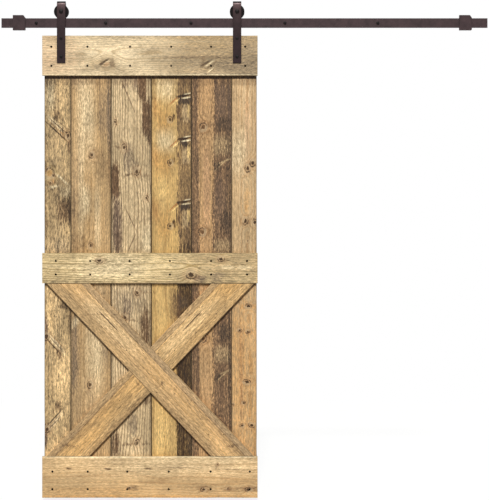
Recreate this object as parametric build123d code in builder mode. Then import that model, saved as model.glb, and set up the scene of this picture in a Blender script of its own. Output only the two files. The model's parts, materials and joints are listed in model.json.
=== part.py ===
from build123d import *
import os
from math import sqrt

os.makedirs("parts", exist_ok=True)

# A ledged and braced sliding door on a flat-bar wall track, in millimetres.
# +Z is up, +X runs along the track to the right, and the door's front faces -Y.
# The origin is on the axis of the middle wall screw, in the plane of the wall.

# Track bar
track_length = 2246.0
track_height = 44.0
track_thickness = 6.0
track_edge_break = 0.8

# Wall screws, at shares of the track's length from its left end, and their spacers
wall_screw_shares = (0.0717, 0.2146, 0.39, 0.5833, 0.7743)
home_screw = 2
wall_gap = 32.0
spacer_diameter = 22.0
screw_diameter = 8.0
screw_hole_clearance = 0.55
screw_head_flats = 13.0
screw_head_height = 5.5
screw_head_bevel = 1.0
screw_bite_length = 50.0

# End stops, saddles that sit on the bar, set in from the bar's two ends
left_stop_setback = 53.0
right_stop_setback = 73.0
stop_width = 57.5
stop_cap_height = 14.0
stop_skirt = 11.0
stop_wall = 5.0
stop_slide_clearance = 0.2
stop_bevel_along = 9.0
stop_bevel_down = 12.0
stop_corner_radius = 3.0
grub_diameter = 6.0
grub_length = 8.0
grub_socket_flats = 3.0
grub_socket_depth = 3.0

# Grooved wheels
tread_diameter = 59.0
flange_depth = 4.5
wheel_width = 20.0
groove_width = 8.0
tread_clearance = 0.3
wheel_side_clearance = 0.5
wheel_running_clearance = 0.05

# Bolts that the wheels turn on
axle_diameter = 12.0
axle_head_flats = 18.0
axle_head_height = 6.5
axle_head_bevel = 1.5
axle_nut_flats = 18.0
axle_nut_height = 8.0
axle_thread_end = 1.5
bolt_clearance = 0.1

# Strap hangers
strap_width = 39.0
strap_thickness = 5.0
strap_drop = 127.5
bend_clearance = 2.6
back_leg_drop = 22.0
left_hanger_inset = 80.0
right_hanger_inset = 91.0

# Lag screws that fix the straps to the door
lag_diameter = 8.0
lag_head_flats = 13.0
lag_head_height = 5.0
lag_head_bevel = 1.0
lag_bite = 15.0
upper_lag_drop = 13.0
lower_lag_drop = 98.5

# Upright boards, tongued and grooved, with a V joint between them
door_height = 2134.0
door_drop = 37.0
door_setback = 197.0
left_board_cover = 122.5
wide_board_cover = 186.0
right_board_cover = 116.5
wide_board_count = 4
board_thickness = 19.0
board_joint_gap = 0.6
board_v_bevel = 2.2
tongue_thickness = 6.0
tongue_length = 7.0
groove_clearance = 0.4

# Ledges and braces on the boards' front
ledge_thickness = 19.0
ledge_left_overhang = 8.0
ledge_right_overhang = 3.5
top_ledge_height = 184.0
middle_ledge_drop = 1003.6
middle_ledge_height = 140.0
bottom_ledge_height = 190.5
brace_width = 144.0
brace_end_setback = 11.5
butt_gap = 0.4
timber_ease = 1.8

# Square cut nails with low four-sided heads
nail_shank = 3.4
nail_head = 8.6
nail_head_height = 2.2
nail_head_slope = 42.0
nail_bite = 13.0

# Nail places on each ledge: shares of each board's cover, and of the ledge's height from its top
top_nail_cover_shares = (0.28, 0.42, 0.48, 0.5, 0.49, 0.54)
top_nail_row_shares = (0.28, 0.76)
middle_nail_cover_shares = (0.45, 0.49, 0.47, 0.47, 0.49, 0.61)
middle_nail_row_shares = (0.265, 0.71)
bottom_nail_cover_shares = (0.32, 0.43, 0.41, 0.44, 0.48, 0.72)
bottom_nail_row_shares = (0.365, 0.79)

# How far a cut runs past the face that it opens
overrun = 1.0

# Places along the track
track_left = -wall_screw_shares[home_screw] * track_length
track_right = track_left + track_length
wall_screw_places = [track_left + share * track_length for share in wall_screw_shares]
boards_left = track_left + door_setback
board_covers = (left_board_cover, *([wide_board_cover] * wide_board_count), right_board_cover)
board_joints = [boards_left + sum(board_covers[:count]) for count in range(len(board_covers) + 1)]
boards_right = board_joints[-1]
ledge_left = boards_left - ledge_left_overhang
ledge_right = boards_right + ledge_right_overhang
hanger_places = {
    "left": boards_left + left_hanger_inset,
    "right": boards_right - right_hanger_inset,
}
stop_places = {
    "left": track_left + left_stop_setback + stop_width / 2,
    "right": track_right - right_stop_setback - stop_width / 2,
}

# Depths, from the wall at zero towards the front
track_back = -wall_gap
track_front = track_back - track_thickness
track_middle = (track_back + track_front) / 2
leg_gap = wheel_width + 2 * wheel_side_clearance
strap_seat = track_middle - leg_gap / 2
strap_front = strap_seat - strap_thickness
back_leg_face = track_middle + leg_gap / 2
back_leg_back = back_leg_face + strap_thickness
ledge_back = strap_seat + ledge_thickness
board_back = ledge_back + board_thickness
board_middle = (ledge_back + board_back) / 2

# Heights
track_top = track_height / 2
tread_radius = tread_diameter / 2
wheel_radius = tread_radius + flange_depth
axle_height = track_top + tread_clearance + tread_radius
inner_bend_radius = leg_gap / 2
bend_room = sqrt(inner_bend_radius**2 - (wheel_width / 2) ** 2)
bend_height = axle_height + wheel_radius + bend_clearance - bend_room
door_top = -track_top - door_drop
door_bottom = door_top - door_height
strap_bottom = door_top - strap_drop
lag_heights = (door_top - upper_lag_drop, door_top - lower_lag_drop)
lag_places = [(x, z) for x in hanger_places.values() for z in lag_heights]
middle_ledge_top = door_top - middle_ledge_drop
bottom_ledge_top = door_bottom + bottom_ledge_height
bay_top = middle_ledge_top - middle_ledge_height - butt_gap
bay_bottom = bottom_ledge_top + butt_gap


def facing(depth):
    """The plane at this depth that faces the front, with X across and Z up."""
    return Plane.XZ.offset(-depth)


def save(piece, name):
    """Label a finished piece and write it."""
    piece.part.label = name
    export_step(piece.part, f"parts/{name}.step")


# Where the braces lie: a level cut at each end, its length found from the brace's width
bay_left = boards_left + brace_end_setback
bay_right = boards_right - brace_end_setback
bay_width = bay_right - bay_left
bay_height = bay_top - bay_bottom
slope_room = bay_height**2 - brace_width**2
cut_reach = sqrt(brace_width**2 * bay_width**2 + slope_room * (bay_height**2 + bay_width**2))
brace_cut = brace_width * (cut_reach - brace_width * bay_width) / slope_room
butt_shift = butt_gap * brace_cut / brace_width
long_outline = (
    (bay_left, bay_top),
    (bay_left + brace_cut, bay_top),
    (bay_right, bay_bottom),
    (bay_right - brace_cut, bay_bottom),
)
butt_outline = (
    (bay_left - butt_shift, bay_top),
    (bay_left + brace_cut + butt_shift, bay_top),
    (bay_right + butt_shift, bay_bottom),
    (bay_right - brace_cut - butt_shift, bay_bottom),
)
cross_outline = (
    (bay_right, bay_top),
    (bay_right - brace_cut, bay_top),
    (bay_left, bay_bottom),
    (bay_left + brace_cut, bay_bottom),
)


def ledge_nails(top, height, cover_shares, row_shares):
    """Nail places on a ledge, one pair in each board behind it."""
    columns = [
        left + share * cover
        for left, share, cover in zip(board_joints, cover_shares, board_covers)
    ]
    return [(x, top - row * height) for x in columns for row in row_shares]


ledge_levels = {
    "top_ledge": (door_top, top_ledge_height),
    "middle_ledge": (middle_ledge_top, middle_ledge_height),
    "bottom_ledge": (bottom_ledge_top, bottom_ledge_height),
}
ledge_nail_places = {
    "top_ledge": ledge_nails(
        *ledge_levels["top_ledge"], top_nail_cover_shares, top_nail_row_shares
    ),
    "middle_ledge": ledge_nails(
        *ledge_levels["middle_ledge"], middle_nail_cover_shares, middle_nail_row_shares
    ),
    "bottom_ledge": ledge_nails(
        *ledge_levels["bottom_ledge"], bottom_nail_cover_shares, bottom_nail_row_shares
    ),
}

# Track bar
with BuildPart() as track_bar:
    with BuildSketch(facing(track_front)):
        with Locations(((track_left + track_right) / 2, 0)):
            Rectangle(track_length, track_height)
    extrude(amount=-track_thickness)
    chamfer(track_bar.edges().filter_by(Axis.X), track_edge_break)
    with BuildSketch(facing(track_front - overrun)):
        with Locations(*[(x, 0) for x in wall_screw_places]):
            Circle(screw_diameter / 2 + screw_hole_clearance)
    extrude(amount=-track_thickness - 2 * overrun, mode=Mode.SUBTRACT)
save(track_bar, "track_bar")

# Lag screws through the bar and spacers into the wall
with BuildPart() as wall_screws:
    with BuildSketch(facing(track_front)):
        with Locations(*[(x, 0) for x in wall_screw_places]):
            RegularPolygon(screw_head_flats / 2, 6, major_radius=False)
    extrude(amount=screw_head_height)
    chamfer(wall_screws.faces().group_by(Axis.Y)[0].edges(), screw_head_bevel)
    with BuildSketch(facing(track_front)):
        with Locations(*[(x, 0) for x in wall_screw_places]):
            Circle(screw_diameter / 2)
    extrude(amount=track_front - screw_bite_length)
save(wall_screws, "wall_screws")

# Spacers that hold the bar off the wall
with BuildPart() as wall_spacers:
    with BuildSketch(facing(track_back)):
        with Locations(*[(x, 0) for x in wall_screw_places]):
            Circle(spacer_diameter / 2)
            Circle(screw_diameter / 2 + screw_hole_clearance, mode=Mode.SUBTRACT)
    extrude(amount=-wall_gap)
save(wall_spacers, "wall_spacers")

# End stops
stop_back = track_back + stop_slide_clearance + stop_wall
stop_front = track_front - stop_slide_clearance - stop_wall
stop_top = track_top + stop_cap_height
stop_bottom = -track_top - stop_skirt
for side, place in stop_places.items():
    with BuildPart() as stop:
        with BuildSketch(facing(stop_front)) as outline:
            with BuildLine():
                Polyline(
                    (place - stop_width / 2, stop_bottom),
                    (place + stop_width / 2, stop_bottom),
                    (place + stop_width / 2, stop_top - stop_bevel_down),
                    (place + stop_width / 2 - stop_bevel_along, stop_top),
                    (place - stop_width / 2, stop_top),
                    close=True,
                )
            make_face()
            fillet(outline.vertices().group_by(Axis.Y)[0].sort_by(Axis.X)[-1], stop_corner_radius)
        extrude(amount=stop_front - stop_back)
        with BuildSketch(Plane.YZ.offset(place)):
            with BuildLine():
                Polyline(
                    (track_front - stop_slide_clearance, track_top),
                    (track_back + stop_slide_clearance, track_top),
                    (track_back + stop_slide_clearance, stop_bottom - overrun),
                    (track_front - stop_slide_clearance, stop_bottom - overrun),
                    close=True,
                )
            make_face()
        extrude(amount=stop_width / 2 + overrun, both=True, mode=Mode.SUBTRACT)
        with BuildSketch(facing(track_back)):
            with Locations((place, 0)):
                Circle(grub_diameter / 2)
        extrude(amount=-stop_wall - stop_slide_clearance - overrun, mode=Mode.SUBTRACT)
    save(stop, f"{side}_stop")

# Set screws that clamp the stops to the bar from behind
grub_places = [(place, 0) for place in stop_places.values()]
with BuildPart() as stop_grub_screws:
    with BuildSketch(facing(track_back)):
        with Locations(*grub_places):
            Circle(grub_diameter / 2)
    extrude(amount=-grub_length)
    with BuildSketch(facing(track_back + grub_length + overrun)):
        with Locations(*grub_places):
            RegularPolygon(grub_socket_flats / 2, 6, major_radius=False)
    extrude(amount=grub_socket_depth + overrun, mode=Mode.SUBTRACT)
save(stop_grub_screws, "stop_grub_screws")

# Upright boards
for number, left_joint in enumerate(board_joints[:-1], start=1):
    left = left_joint + board_joint_gap / 2
    right = board_joints[number] - board_joint_gap / 2
    with BuildPart() as board:
        with BuildSketch(Plane.XY.offset(door_bottom)):
            with Locations(((left + right) / 2, board_middle)):
                plank = Rectangle(right - left, board_thickness)
            chamfer(plank.vertices(), board_v_bevel)
            if number > 1:
                groove_depth = tongue_length + groove_clearance
                with Locations((left, board_middle)):
                    Rectangle(
                        2 * groove_depth,
                        tongue_thickness + 2 * groove_clearance,
                        mode=Mode.SUBTRACT,
                    )
            if number < len(board_covers):
                with Locations((right, board_middle)):
                    Rectangle(2 * tongue_length, tongue_thickness)
        extrude(amount=door_height)
        lag_spots = [place for place in lag_places if left < place[0] < right]
        if lag_spots:
            with BuildSketch(facing(ledge_back)):
                with Locations(*lag_spots):
                    Circle(lag_diameter / 2 + bolt_clearance)
            extrude(amount=-lag_bite - bolt_clearance, mode=Mode.SUBTRACT)
    save(board, f"board_{number}")

# Ledges across the boards
for name, (top, height) in ledge_levels.items():
    with BuildPart() as ledge:
        with BuildSketch(facing(strap_seat)):
            with Locations(((ledge_left + ledge_right) / 2, top - height / 2)):
                Rectangle(ledge_right - ledge_left, height)
        extrude(amount=-ledge_thickness)
        chamfer(ledge.faces().sort_by(Axis.Y)[0].edges(), timber_ease)
        if name == "top_ledge":
            with BuildSketch(facing(strap_seat)):
                with Locations(*lag_places):
                    Circle(lag_diameter / 2 + bolt_clearance)
            extrude(amount=-ledge_thickness, mode=Mode.SUBTRACT)
    save(ledge, name)

# The whole diagonal and the two halves that butt against it
with BuildSketch(facing(strap_seat)) as long_face:
    with BuildLine():
        Polyline(*long_outline, close=True)
    make_face()
with BuildSketch(facing(strap_seat)) as cross_faces:
    with BuildLine():
        Polyline(*cross_outline, close=True)
    make_face()
    with BuildLine():
        Polyline(*butt_outline, close=True)
    make_face(mode=Mode.SUBTRACT)
lower_face, upper_face = cross_faces.sketch.faces().sort_by(Axis.Z)
brace_faces = {
    "long_brace": long_face.sketch.face(),
    "lower_half_brace": lower_face,
    "upper_half_brace": upper_face,
}
for name, outline in brace_faces.items():
    with BuildPart() as brace:
        extrude(outline, amount=-ledge_thickness)
        chamfer(brace.faces().sort_by(Axis.Y)[0].edges(), timber_ease)
    save(brace, name)

# Nails driven through the ledges into the boards
for name, places in ledge_nail_places.items():
    with BuildPart() as nails:
        with BuildSketch(facing(strap_seat)):
            with Locations(*places):
                Rectangle(nail_head, nail_head)
        extrude(amount=nail_head_height, taper=nail_head_slope)
        with BuildSketch(facing(strap_seat)):
            with Locations(*places):
                Rectangle(nail_shank, nail_shank)
        extrude(amount=-ledge_thickness - nail_bite)
    save(nails, f"{name}_nails")

# Strap hangers, bent over the wheels
for side, x in hanger_places.items():
    with BuildPart() as strap:
        with BuildSketch(Plane.YZ.offset(x)):
            with BuildLine():
                Polyline(
                    (strap_seat, bend_height),
                    (strap_seat, strap_bottom),
                    (strap_front, strap_bottom),
                    (strap_front, bend_height),
                )
                CenterArc(
                    (track_middle, bend_height), inner_bend_radius + strap_thickness, 180, -180
                )
                Polyline(
                    (back_leg_back, bend_height),
                    (back_leg_back, axle_height - back_leg_drop),
                    (back_leg_face, axle_height - back_leg_drop),
                    (back_leg_face, bend_height),
                )
                CenterArc((track_middle, bend_height), inner_bend_radius, 0, 180)
            make_face()
        extrude(amount=strap_width / 2, both=True)
        with BuildSketch(facing(strap_front)):
            with Locations((x, axle_height)):
                Circle(axle_diameter / 2 + bolt_clearance)
        extrude(amount=strap_front - back_leg_back, mode=Mode.SUBTRACT)
        with BuildSketch(facing(strap_front)):
            with Locations(*[(x, z) for z in lag_heights]):
                Circle(lag_diameter / 2 + bolt_clearance)
        extrude(amount=-strap_thickness, mode=Mode.SUBTRACT)
    save(strap, f"{side}_hanger_strap")

# Bolts that the wheels turn on, each with its head on the front leg
axle_places = [(x, axle_height) for x in hanger_places.values()]
axle_nut_back = back_leg_back + axle_nut_height
with BuildPart() as axle_bolts:
    with BuildSketch(facing(strap_front)):
        with Locations(*axle_places):
            RegularPolygon(axle_head_flats / 2, 6, major_radius=False)
    extrude(amount=axle_head_height)
    chamfer(axle_bolts.faces().group_by(Axis.Y)[0].edges(), axle_head_bevel)
    with BuildSketch(facing(strap_front)):
        with Locations(*axle_places):
            Circle(axle_diameter / 2)
    extrude(amount=strap_front - axle_nut_back - axle_thread_end)
save(axle_bolts, "axle_bolts")

# Nuts of those bolts, behind the back leg
with BuildPart() as axle_nuts:
    with BuildSketch(facing(back_leg_back)):
        with Locations(*axle_places):
            RegularPolygon(axle_nut_flats / 2, 6, major_radius=False)
            Circle(axle_diameter / 2 + bolt_clearance, mode=Mode.SUBTRACT)
    extrude(amount=-axle_nut_height)
save(axle_nuts, "axle_nuts")

# Lag screws through the straps and the top ledge into the boards
with BuildPart() as strap_screws:
    with BuildSketch(facing(strap_front)):
        with Locations(*lag_places):
            RegularPolygon(lag_head_flats / 2, 6, major_radius=False)
    extrude(amount=lag_head_height)
    chamfer(strap_screws.faces().group_by(Axis.Y)[0].edges(), lag_head_bevel)
    with BuildSketch(facing(strap_front)):
        with Locations(*lag_places):
            Circle(lag_diameter / 2)
    extrude(amount=strap_front - ledge_back - lag_bite)
save(strap_screws, "strap_screws")

# Wheels with a straight-sided groove that straddles the bar
for side, x in hanger_places.items():
    with BuildPart() as wheel:
        with BuildSketch(Plane.YZ.offset(x)):
            with Locations((track_middle, axle_height + wheel_radius / 2)):
                Rectangle(wheel_width, wheel_radius)
            with Locations((track_middle, axle_height + wheel_radius)):
                Rectangle(groove_width, 2 * flange_depth, mode=Mode.SUBTRACT)
            with Locations((track_middle, axle_height)):
                Rectangle(
                    wheel_width,
                    axle_diameter + 2 * wheel_running_clearance,
                    mode=Mode.SUBTRACT,
                )
        revolve(axis=Axis((x, 0, axle_height), (0, 1, 0)))
    save(wheel, f"{side}_wheel")
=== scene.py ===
"""Studio scene of a sliding plank door that hangs on a flat-bar track.

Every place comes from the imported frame, in metres. The door's front faces -Y, +X runs along the track
to the right and +Z is up.
"""

import json
import logging
import math
from collections.abc import Iterable, Mapping, Sequence
from dataclasses import dataclass, replace
from enum import Enum
from functools import partial, reduce

import bmesh
import bpy
from bpy.types import ID, Light, Material, Mesh, Node, NodeTree, Object
from bpy.types import NodeSocket as Socket
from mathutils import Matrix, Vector, noise

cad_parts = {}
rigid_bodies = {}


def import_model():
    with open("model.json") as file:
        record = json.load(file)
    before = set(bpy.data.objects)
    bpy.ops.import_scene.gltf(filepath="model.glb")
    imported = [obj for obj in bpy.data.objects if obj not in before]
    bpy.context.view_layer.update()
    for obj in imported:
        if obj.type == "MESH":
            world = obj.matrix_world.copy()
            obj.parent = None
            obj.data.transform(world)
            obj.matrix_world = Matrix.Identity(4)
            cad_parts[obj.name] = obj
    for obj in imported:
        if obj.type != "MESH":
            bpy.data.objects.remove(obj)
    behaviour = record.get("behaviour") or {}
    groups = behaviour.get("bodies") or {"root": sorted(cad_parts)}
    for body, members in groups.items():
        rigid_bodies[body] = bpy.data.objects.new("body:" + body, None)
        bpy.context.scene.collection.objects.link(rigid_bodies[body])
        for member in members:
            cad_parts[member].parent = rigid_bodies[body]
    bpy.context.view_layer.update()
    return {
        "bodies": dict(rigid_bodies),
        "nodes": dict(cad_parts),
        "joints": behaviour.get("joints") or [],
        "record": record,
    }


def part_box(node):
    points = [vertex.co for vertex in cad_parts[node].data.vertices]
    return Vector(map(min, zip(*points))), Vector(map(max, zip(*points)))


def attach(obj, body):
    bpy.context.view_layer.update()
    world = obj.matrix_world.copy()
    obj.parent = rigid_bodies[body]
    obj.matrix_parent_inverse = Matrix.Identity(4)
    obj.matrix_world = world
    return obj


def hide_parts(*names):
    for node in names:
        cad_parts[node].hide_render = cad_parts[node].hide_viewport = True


LOG = logging.getLogger("plank_door")

Pair = tuple[float, float]
Triple = tuple[float, float, float]
Colour = tuple[float, float, float, float]
Sockets = Mapping[str, Socket]
Feed = float | tuple | Socket

# Edges that bend more than this stay sharp, and points within these distances count as level.
SHARP_ANGLE = math.radians(32)
NEAR = 1e-4
FLUSH = 1e-5


class Body(str, Enum):
    """Rigid bodies of the frame that the pieces ride on."""

    TRACK = "track"
    DOOR = "door"
    LEFT_WHEEL = "left_wheel"
    RIGHT_WHEEL = "right_wheel"


class Slot(str, Enum):
    """Material slots of the record."""

    BOARD = "board_pine"
    LEDGE = "ledge_pine"
    BRACE = "brace_pine"
    BRONZE = "bronze_steel"
    IRON = "black_iron"


class Tint(Enum):
    """Colours of the timber, its marks and the steel, as they look under plain light."""

    CREAM = "ecd8ae"
    GOLD = "e6c27e"
    HONEY = "b98646"
    RUST = "a86e3a"
    ROSE = "cfa07a"
    TAN = "a98f68"
    ASH = "8a7860"
    SLATE = "75634f"
    MAUVE = "6b5645"
    BARK = "68503a"
    UMBER = "634a32"
    SOOT = "463729"
    PEAT = "3f2c1a"
    KNOT = "33210f"

    @property
    def linear(self) -> Colour:
        """The colour in linear light."""
        return linear(self.value)

    @property
    def pale(self) -> bool:
        """Whether a mark of this tint is clear wood, and not dirt."""
        return self in (Tint.CREAM, Tint.GOLD, Tint.HONEY, Tint.ROSE, Tint.TAN)


def linear(code: str) -> Colour:
    """Turn a hex colour into linear light.

    Args:
        code: Six hex digits of red, green and blue.

    Returns:
        The colour with full alpha.
    """
    shares = [int(code[start : start + 2], 16) / 255 for start in (0, 2, 4)]
    red, green, blue = (
        share / 12.92 if share <= 0.04045 else ((share + 0.055) / 1.055) ** 2.4 for share in shares
    )
    return (red, green, blue, 1.0)


@dataclass(frozen=True)
class Stain:
    """A soft patch of another tint.

    Places are shares of the plank's width and length, from its upper or left corner. Sizes are in metres,
    lean is how far the patch slides along the grain for each metre across it, and fray how ragged it is.
    """

    across: float
    along: float
    half_width: float
    half_length: float
    tint: Tint
    strength: float = 0.6
    softness: float = 0.5
    lean: float = 0.0
    fray: float = 1.0

    @property
    def soaks(self) -> bool:
        """Whether it goes through the wood, as a ragged stain does, or lies on the face as a crisp mark."""
        return self.fray > 0.5


@dataclass(frozen=True)
class Knot:
    """A knot: its place in shares of the plank, its radius in metres and its stretch along the grain."""

    across: float
    along: float
    radius: float
    stretch: float = 1.35
    heart: Tint = Tint.KNOT
    halo: Tint = Tint.RUST
    strength: float = 0.95
    fill: float = 0.9

    @property
    def turn(self) -> float:
        """The angle that its dark side faces, which differs from knot to knot."""
        return (37.0 * self.across + 91.0 * self.along) % (2 * math.pi)


@dataclass(frozen=True)
class PineFinish:
    """How one plank of pine looks: its early and late wood, its growth rings and its marks."""

    early: str
    late: str
    seed: float
    pith_share: float = 0.5
    pith_depth: float = 0.045
    ring: float = 0.0062
    line: float = 0.42
    wander: float = 0.016
    contrast: float = 0.6
    mottle: float = 0.22
    weather: str = "9c8561"
    weathering: float = 0.35
    patch: float = 0.7
    grime: float = 0.0
    stains: tuple[Stain, ...] = ()
    knots: tuple[Knot, ...] = ()


@dataclass(frozen=True)
class Band:
    """A level band of another tint on a coat, in metres down from the piece's top, as used for painted
    highlight and shade.
    """

    start: float
    end: float
    tint: str
    strength: float
    softness: float = 0.0015


@dataclass(frozen=True)
class SteelFinish:
    """How a coated steel piece looks: its coat, the metal that edges bare, its gloss and its bands of painted
    highlight and shade.
    """

    name: str
    coat: str
    worn: str
    roughness: float
    metallic: float
    wear: float
    peel: float
    edge: float = 0.0012
    sheen: float = 0.25
    bands: tuple[Band, ...] = ()


class Graph:
    """A node tree with short calls that add nodes and join them."""

    def __init__(self, tree: NodeTree) -> None:
        """Keep the tree that the nodes go into."""
        self.tree = tree

    def add(self, kind: str, **settings: object) -> Node:
        """Add a node and set its properties.

        Args:
            kind: The node's type name.
            **settings: Its properties by name.

        Returns:
            The new node.
        """
        node = self.tree.nodes.new(kind)
        for name, value in settings.items():
            setattr(node, name, value)
        return node

    def feed(self, socket: Socket, value: Feed) -> None:
        """Link an output into an input, or set the input's value.

        Args:
            socket: The input.
            value: The output or the plain value.
        """
        if isinstance(value, Socket):
            self.tree.links.new(value, socket)
        else:
            socket.default_value = value

    def wire(self, kind: str, feeds: dict[str | int, Feed], out: str | int = 0, **settings: object) -> Socket:
        """Add a node, feed its inputs and give one of its outputs.

        Args:
            kind: The node's type name.
            feeds: What goes into each input, by name or number.
            out: The output that is wanted.
            **settings: The node's properties by name.

        Returns:
            The output socket.
        """
        node = self.add(kind, **settings)
        for key, value in feeds.items():
            self.feed(node.inputs[key], value)
        return node.outputs[out]

    def math(
        self, operation: str, first: Feed, second: Feed = 0.0, third: Feed = 0.0, clamp: bool = False
    ) -> Socket:
        """Give the result of a sum on up to three values."""
        feeds = {0: first, 1: second, 2: third}
        return self.wire("ShaderNodeMath", feeds, operation=operation, use_clamp=clamp)

    def plus(self, *terms: Feed) -> Socket:
        """Give the total of some values."""
        return reduce(partial(self.math, "ADD"), terms)

    def minus(self, first: Feed, second: Feed) -> Socket:
        """Give the first value less the second."""
        return self.math("SUBTRACT", first, second)

    def times(self, *factors: Feed) -> Socket:
        """Give the product of some values."""
        return reduce(partial(self.math, "MULTIPLY"), factors)

    def ramp(self, value: Feed, slope: Feed, start: Feed) -> Socket:
        """Give a value times its slope, counted from a start."""
        return self.math("MULTIPLY_ADD", value, slope, start)

    def smooth(self, value: Feed, low: Feed, high: Feed, start: float = 0.0, end: float = 1.0) -> Socket:
        """Give a smooth step from start to end while value goes from low to high."""
        feeds = {"Value": value, "From Min": low, "From Max": high, "To Min": start, "To Max": end}
        return self.wire("ShaderNodeMapRange", feeds, interpolation_type="SMOOTHSTEP")

    def mix(self, factor: Feed, first: Feed, second: Feed) -> Socket:
        """Give a colour between two others."""
        return self.wire("ShaderNodeMix", {0: factor, 6: first, 7: second}, 2, data_type="RGBA")

    def scaled(self, colour: Feed, value: Feed) -> Socket:
        """Give a colour or vector times one value."""
        return self.wire("ShaderNodeVectorMath", {0: colour, "Scale": value}, operation="SCALE")

    def axes(self, vector: Feed) -> Sequence[Socket]:
        """Give the three parts of a vector."""
        return self.wire("ShaderNodeSeparateXYZ", {0: vector}).node.outputs

    def noise(
        self, place: Feed, cells: Triple, detail: float = 2.0, roughness: float = 0.5, seed: Feed = 0.0
    ) -> Socket:
        """Give soft noise from 0 to 1.

        Args:
            place: The coordinates.
            cells: How many waves it has to the metre on each axis.
            detail: How many finer layers are laid over it.
            roughness: How strong those are.
            seed: How far it is moved along all three axes.

        Returns:
            The noise.
        """
        wide = self.wire("ShaderNodeVectorMath", {0: place, 1: cells}, operation="MULTIPLY")
        offset = self.wire("ShaderNodeCombineXYZ", {0: seed, 1: seed, 2: seed})
        spot = self.wire("ShaderNodeVectorMath", {0: wide, 1: offset}, operation="ADD")
        feeds = {"Vector": spot, "Scale": 1.0, "Detail": detail, "Roughness": roughness}
        return self.wire("ShaderNodeTexNoise", feeds)

    def group(self, tree: NodeTree, **feeds: Feed) -> Sockets:
        """Place a node group and feed its inputs.

        Args:
            tree: The group's tree.
            **feeds: What goes into each input, with _ for a space in its name.

        Returns:
            The group's outputs by name.
        """
        kind = "ShaderNodeGroup" if tree.bl_idname == "ShaderNodeTree" else "GeometryNodeGroup"
        node = self.add(kind, node_tree=tree)
        for name, value in feeds.items():
            self.feed(node.inputs[name.replace("_", " ")], value)
        return node.outputs


class GroupDraft:
    """A node group under construction, with named inputs and outputs."""

    KINDS = {
        float: "NodeSocketFloat",
        int: "NodeSocketInt",
        Vector: "NodeSocketVector",
        Colour: "NodeSocketColor",
        Mesh: "NodeSocketGeometry",
        Material: "NodeSocketMaterial",
    }

    def __init__(
        self,
        name: str,
        inputs: dict[str, object],
        outputs: dict[str, object],
        kind: str = "ShaderNodeTree",
    ) -> None:
        """Make an empty group.

        Args:
            name: The group's name.
            inputs: The kind of each input by name.
            outputs: The kind of each output by name.
            kind: ShaderNodeTree or GeometryNodeTree.
        """
        self.tree = bpy.data.node_groups.new(name, kind)
        for side, sockets in (("INPUT", inputs), ("OUTPUT", outputs)):
            for label, sort in sockets.items():
                self.tree.interface.new_socket(label, in_out=side, socket_type=self.KINDS[sort])
        self.graph = Graph(self.tree)
        self.given = self.graph.add("NodeGroupInput").outputs
        self.wanted = self.graph.add("NodeGroupOutput").inputs

    def put(self, **results: Feed) -> NodeTree:
        """Link results into the group's outputs.

        Args:
            **results: What goes into each output, with _ for a space in its name.

        Returns:
            The finished tree.
        """
        for name, value in results.items():
            self.graph.feed(self.wanted[name.replace("_", " ")], value)
        return self.tree


def floats(names: str) -> dict[str, object]:
    """Give plain number sockets for names that are listed with commas."""
    return {name.strip(): float for name in names.split(",")}


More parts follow.
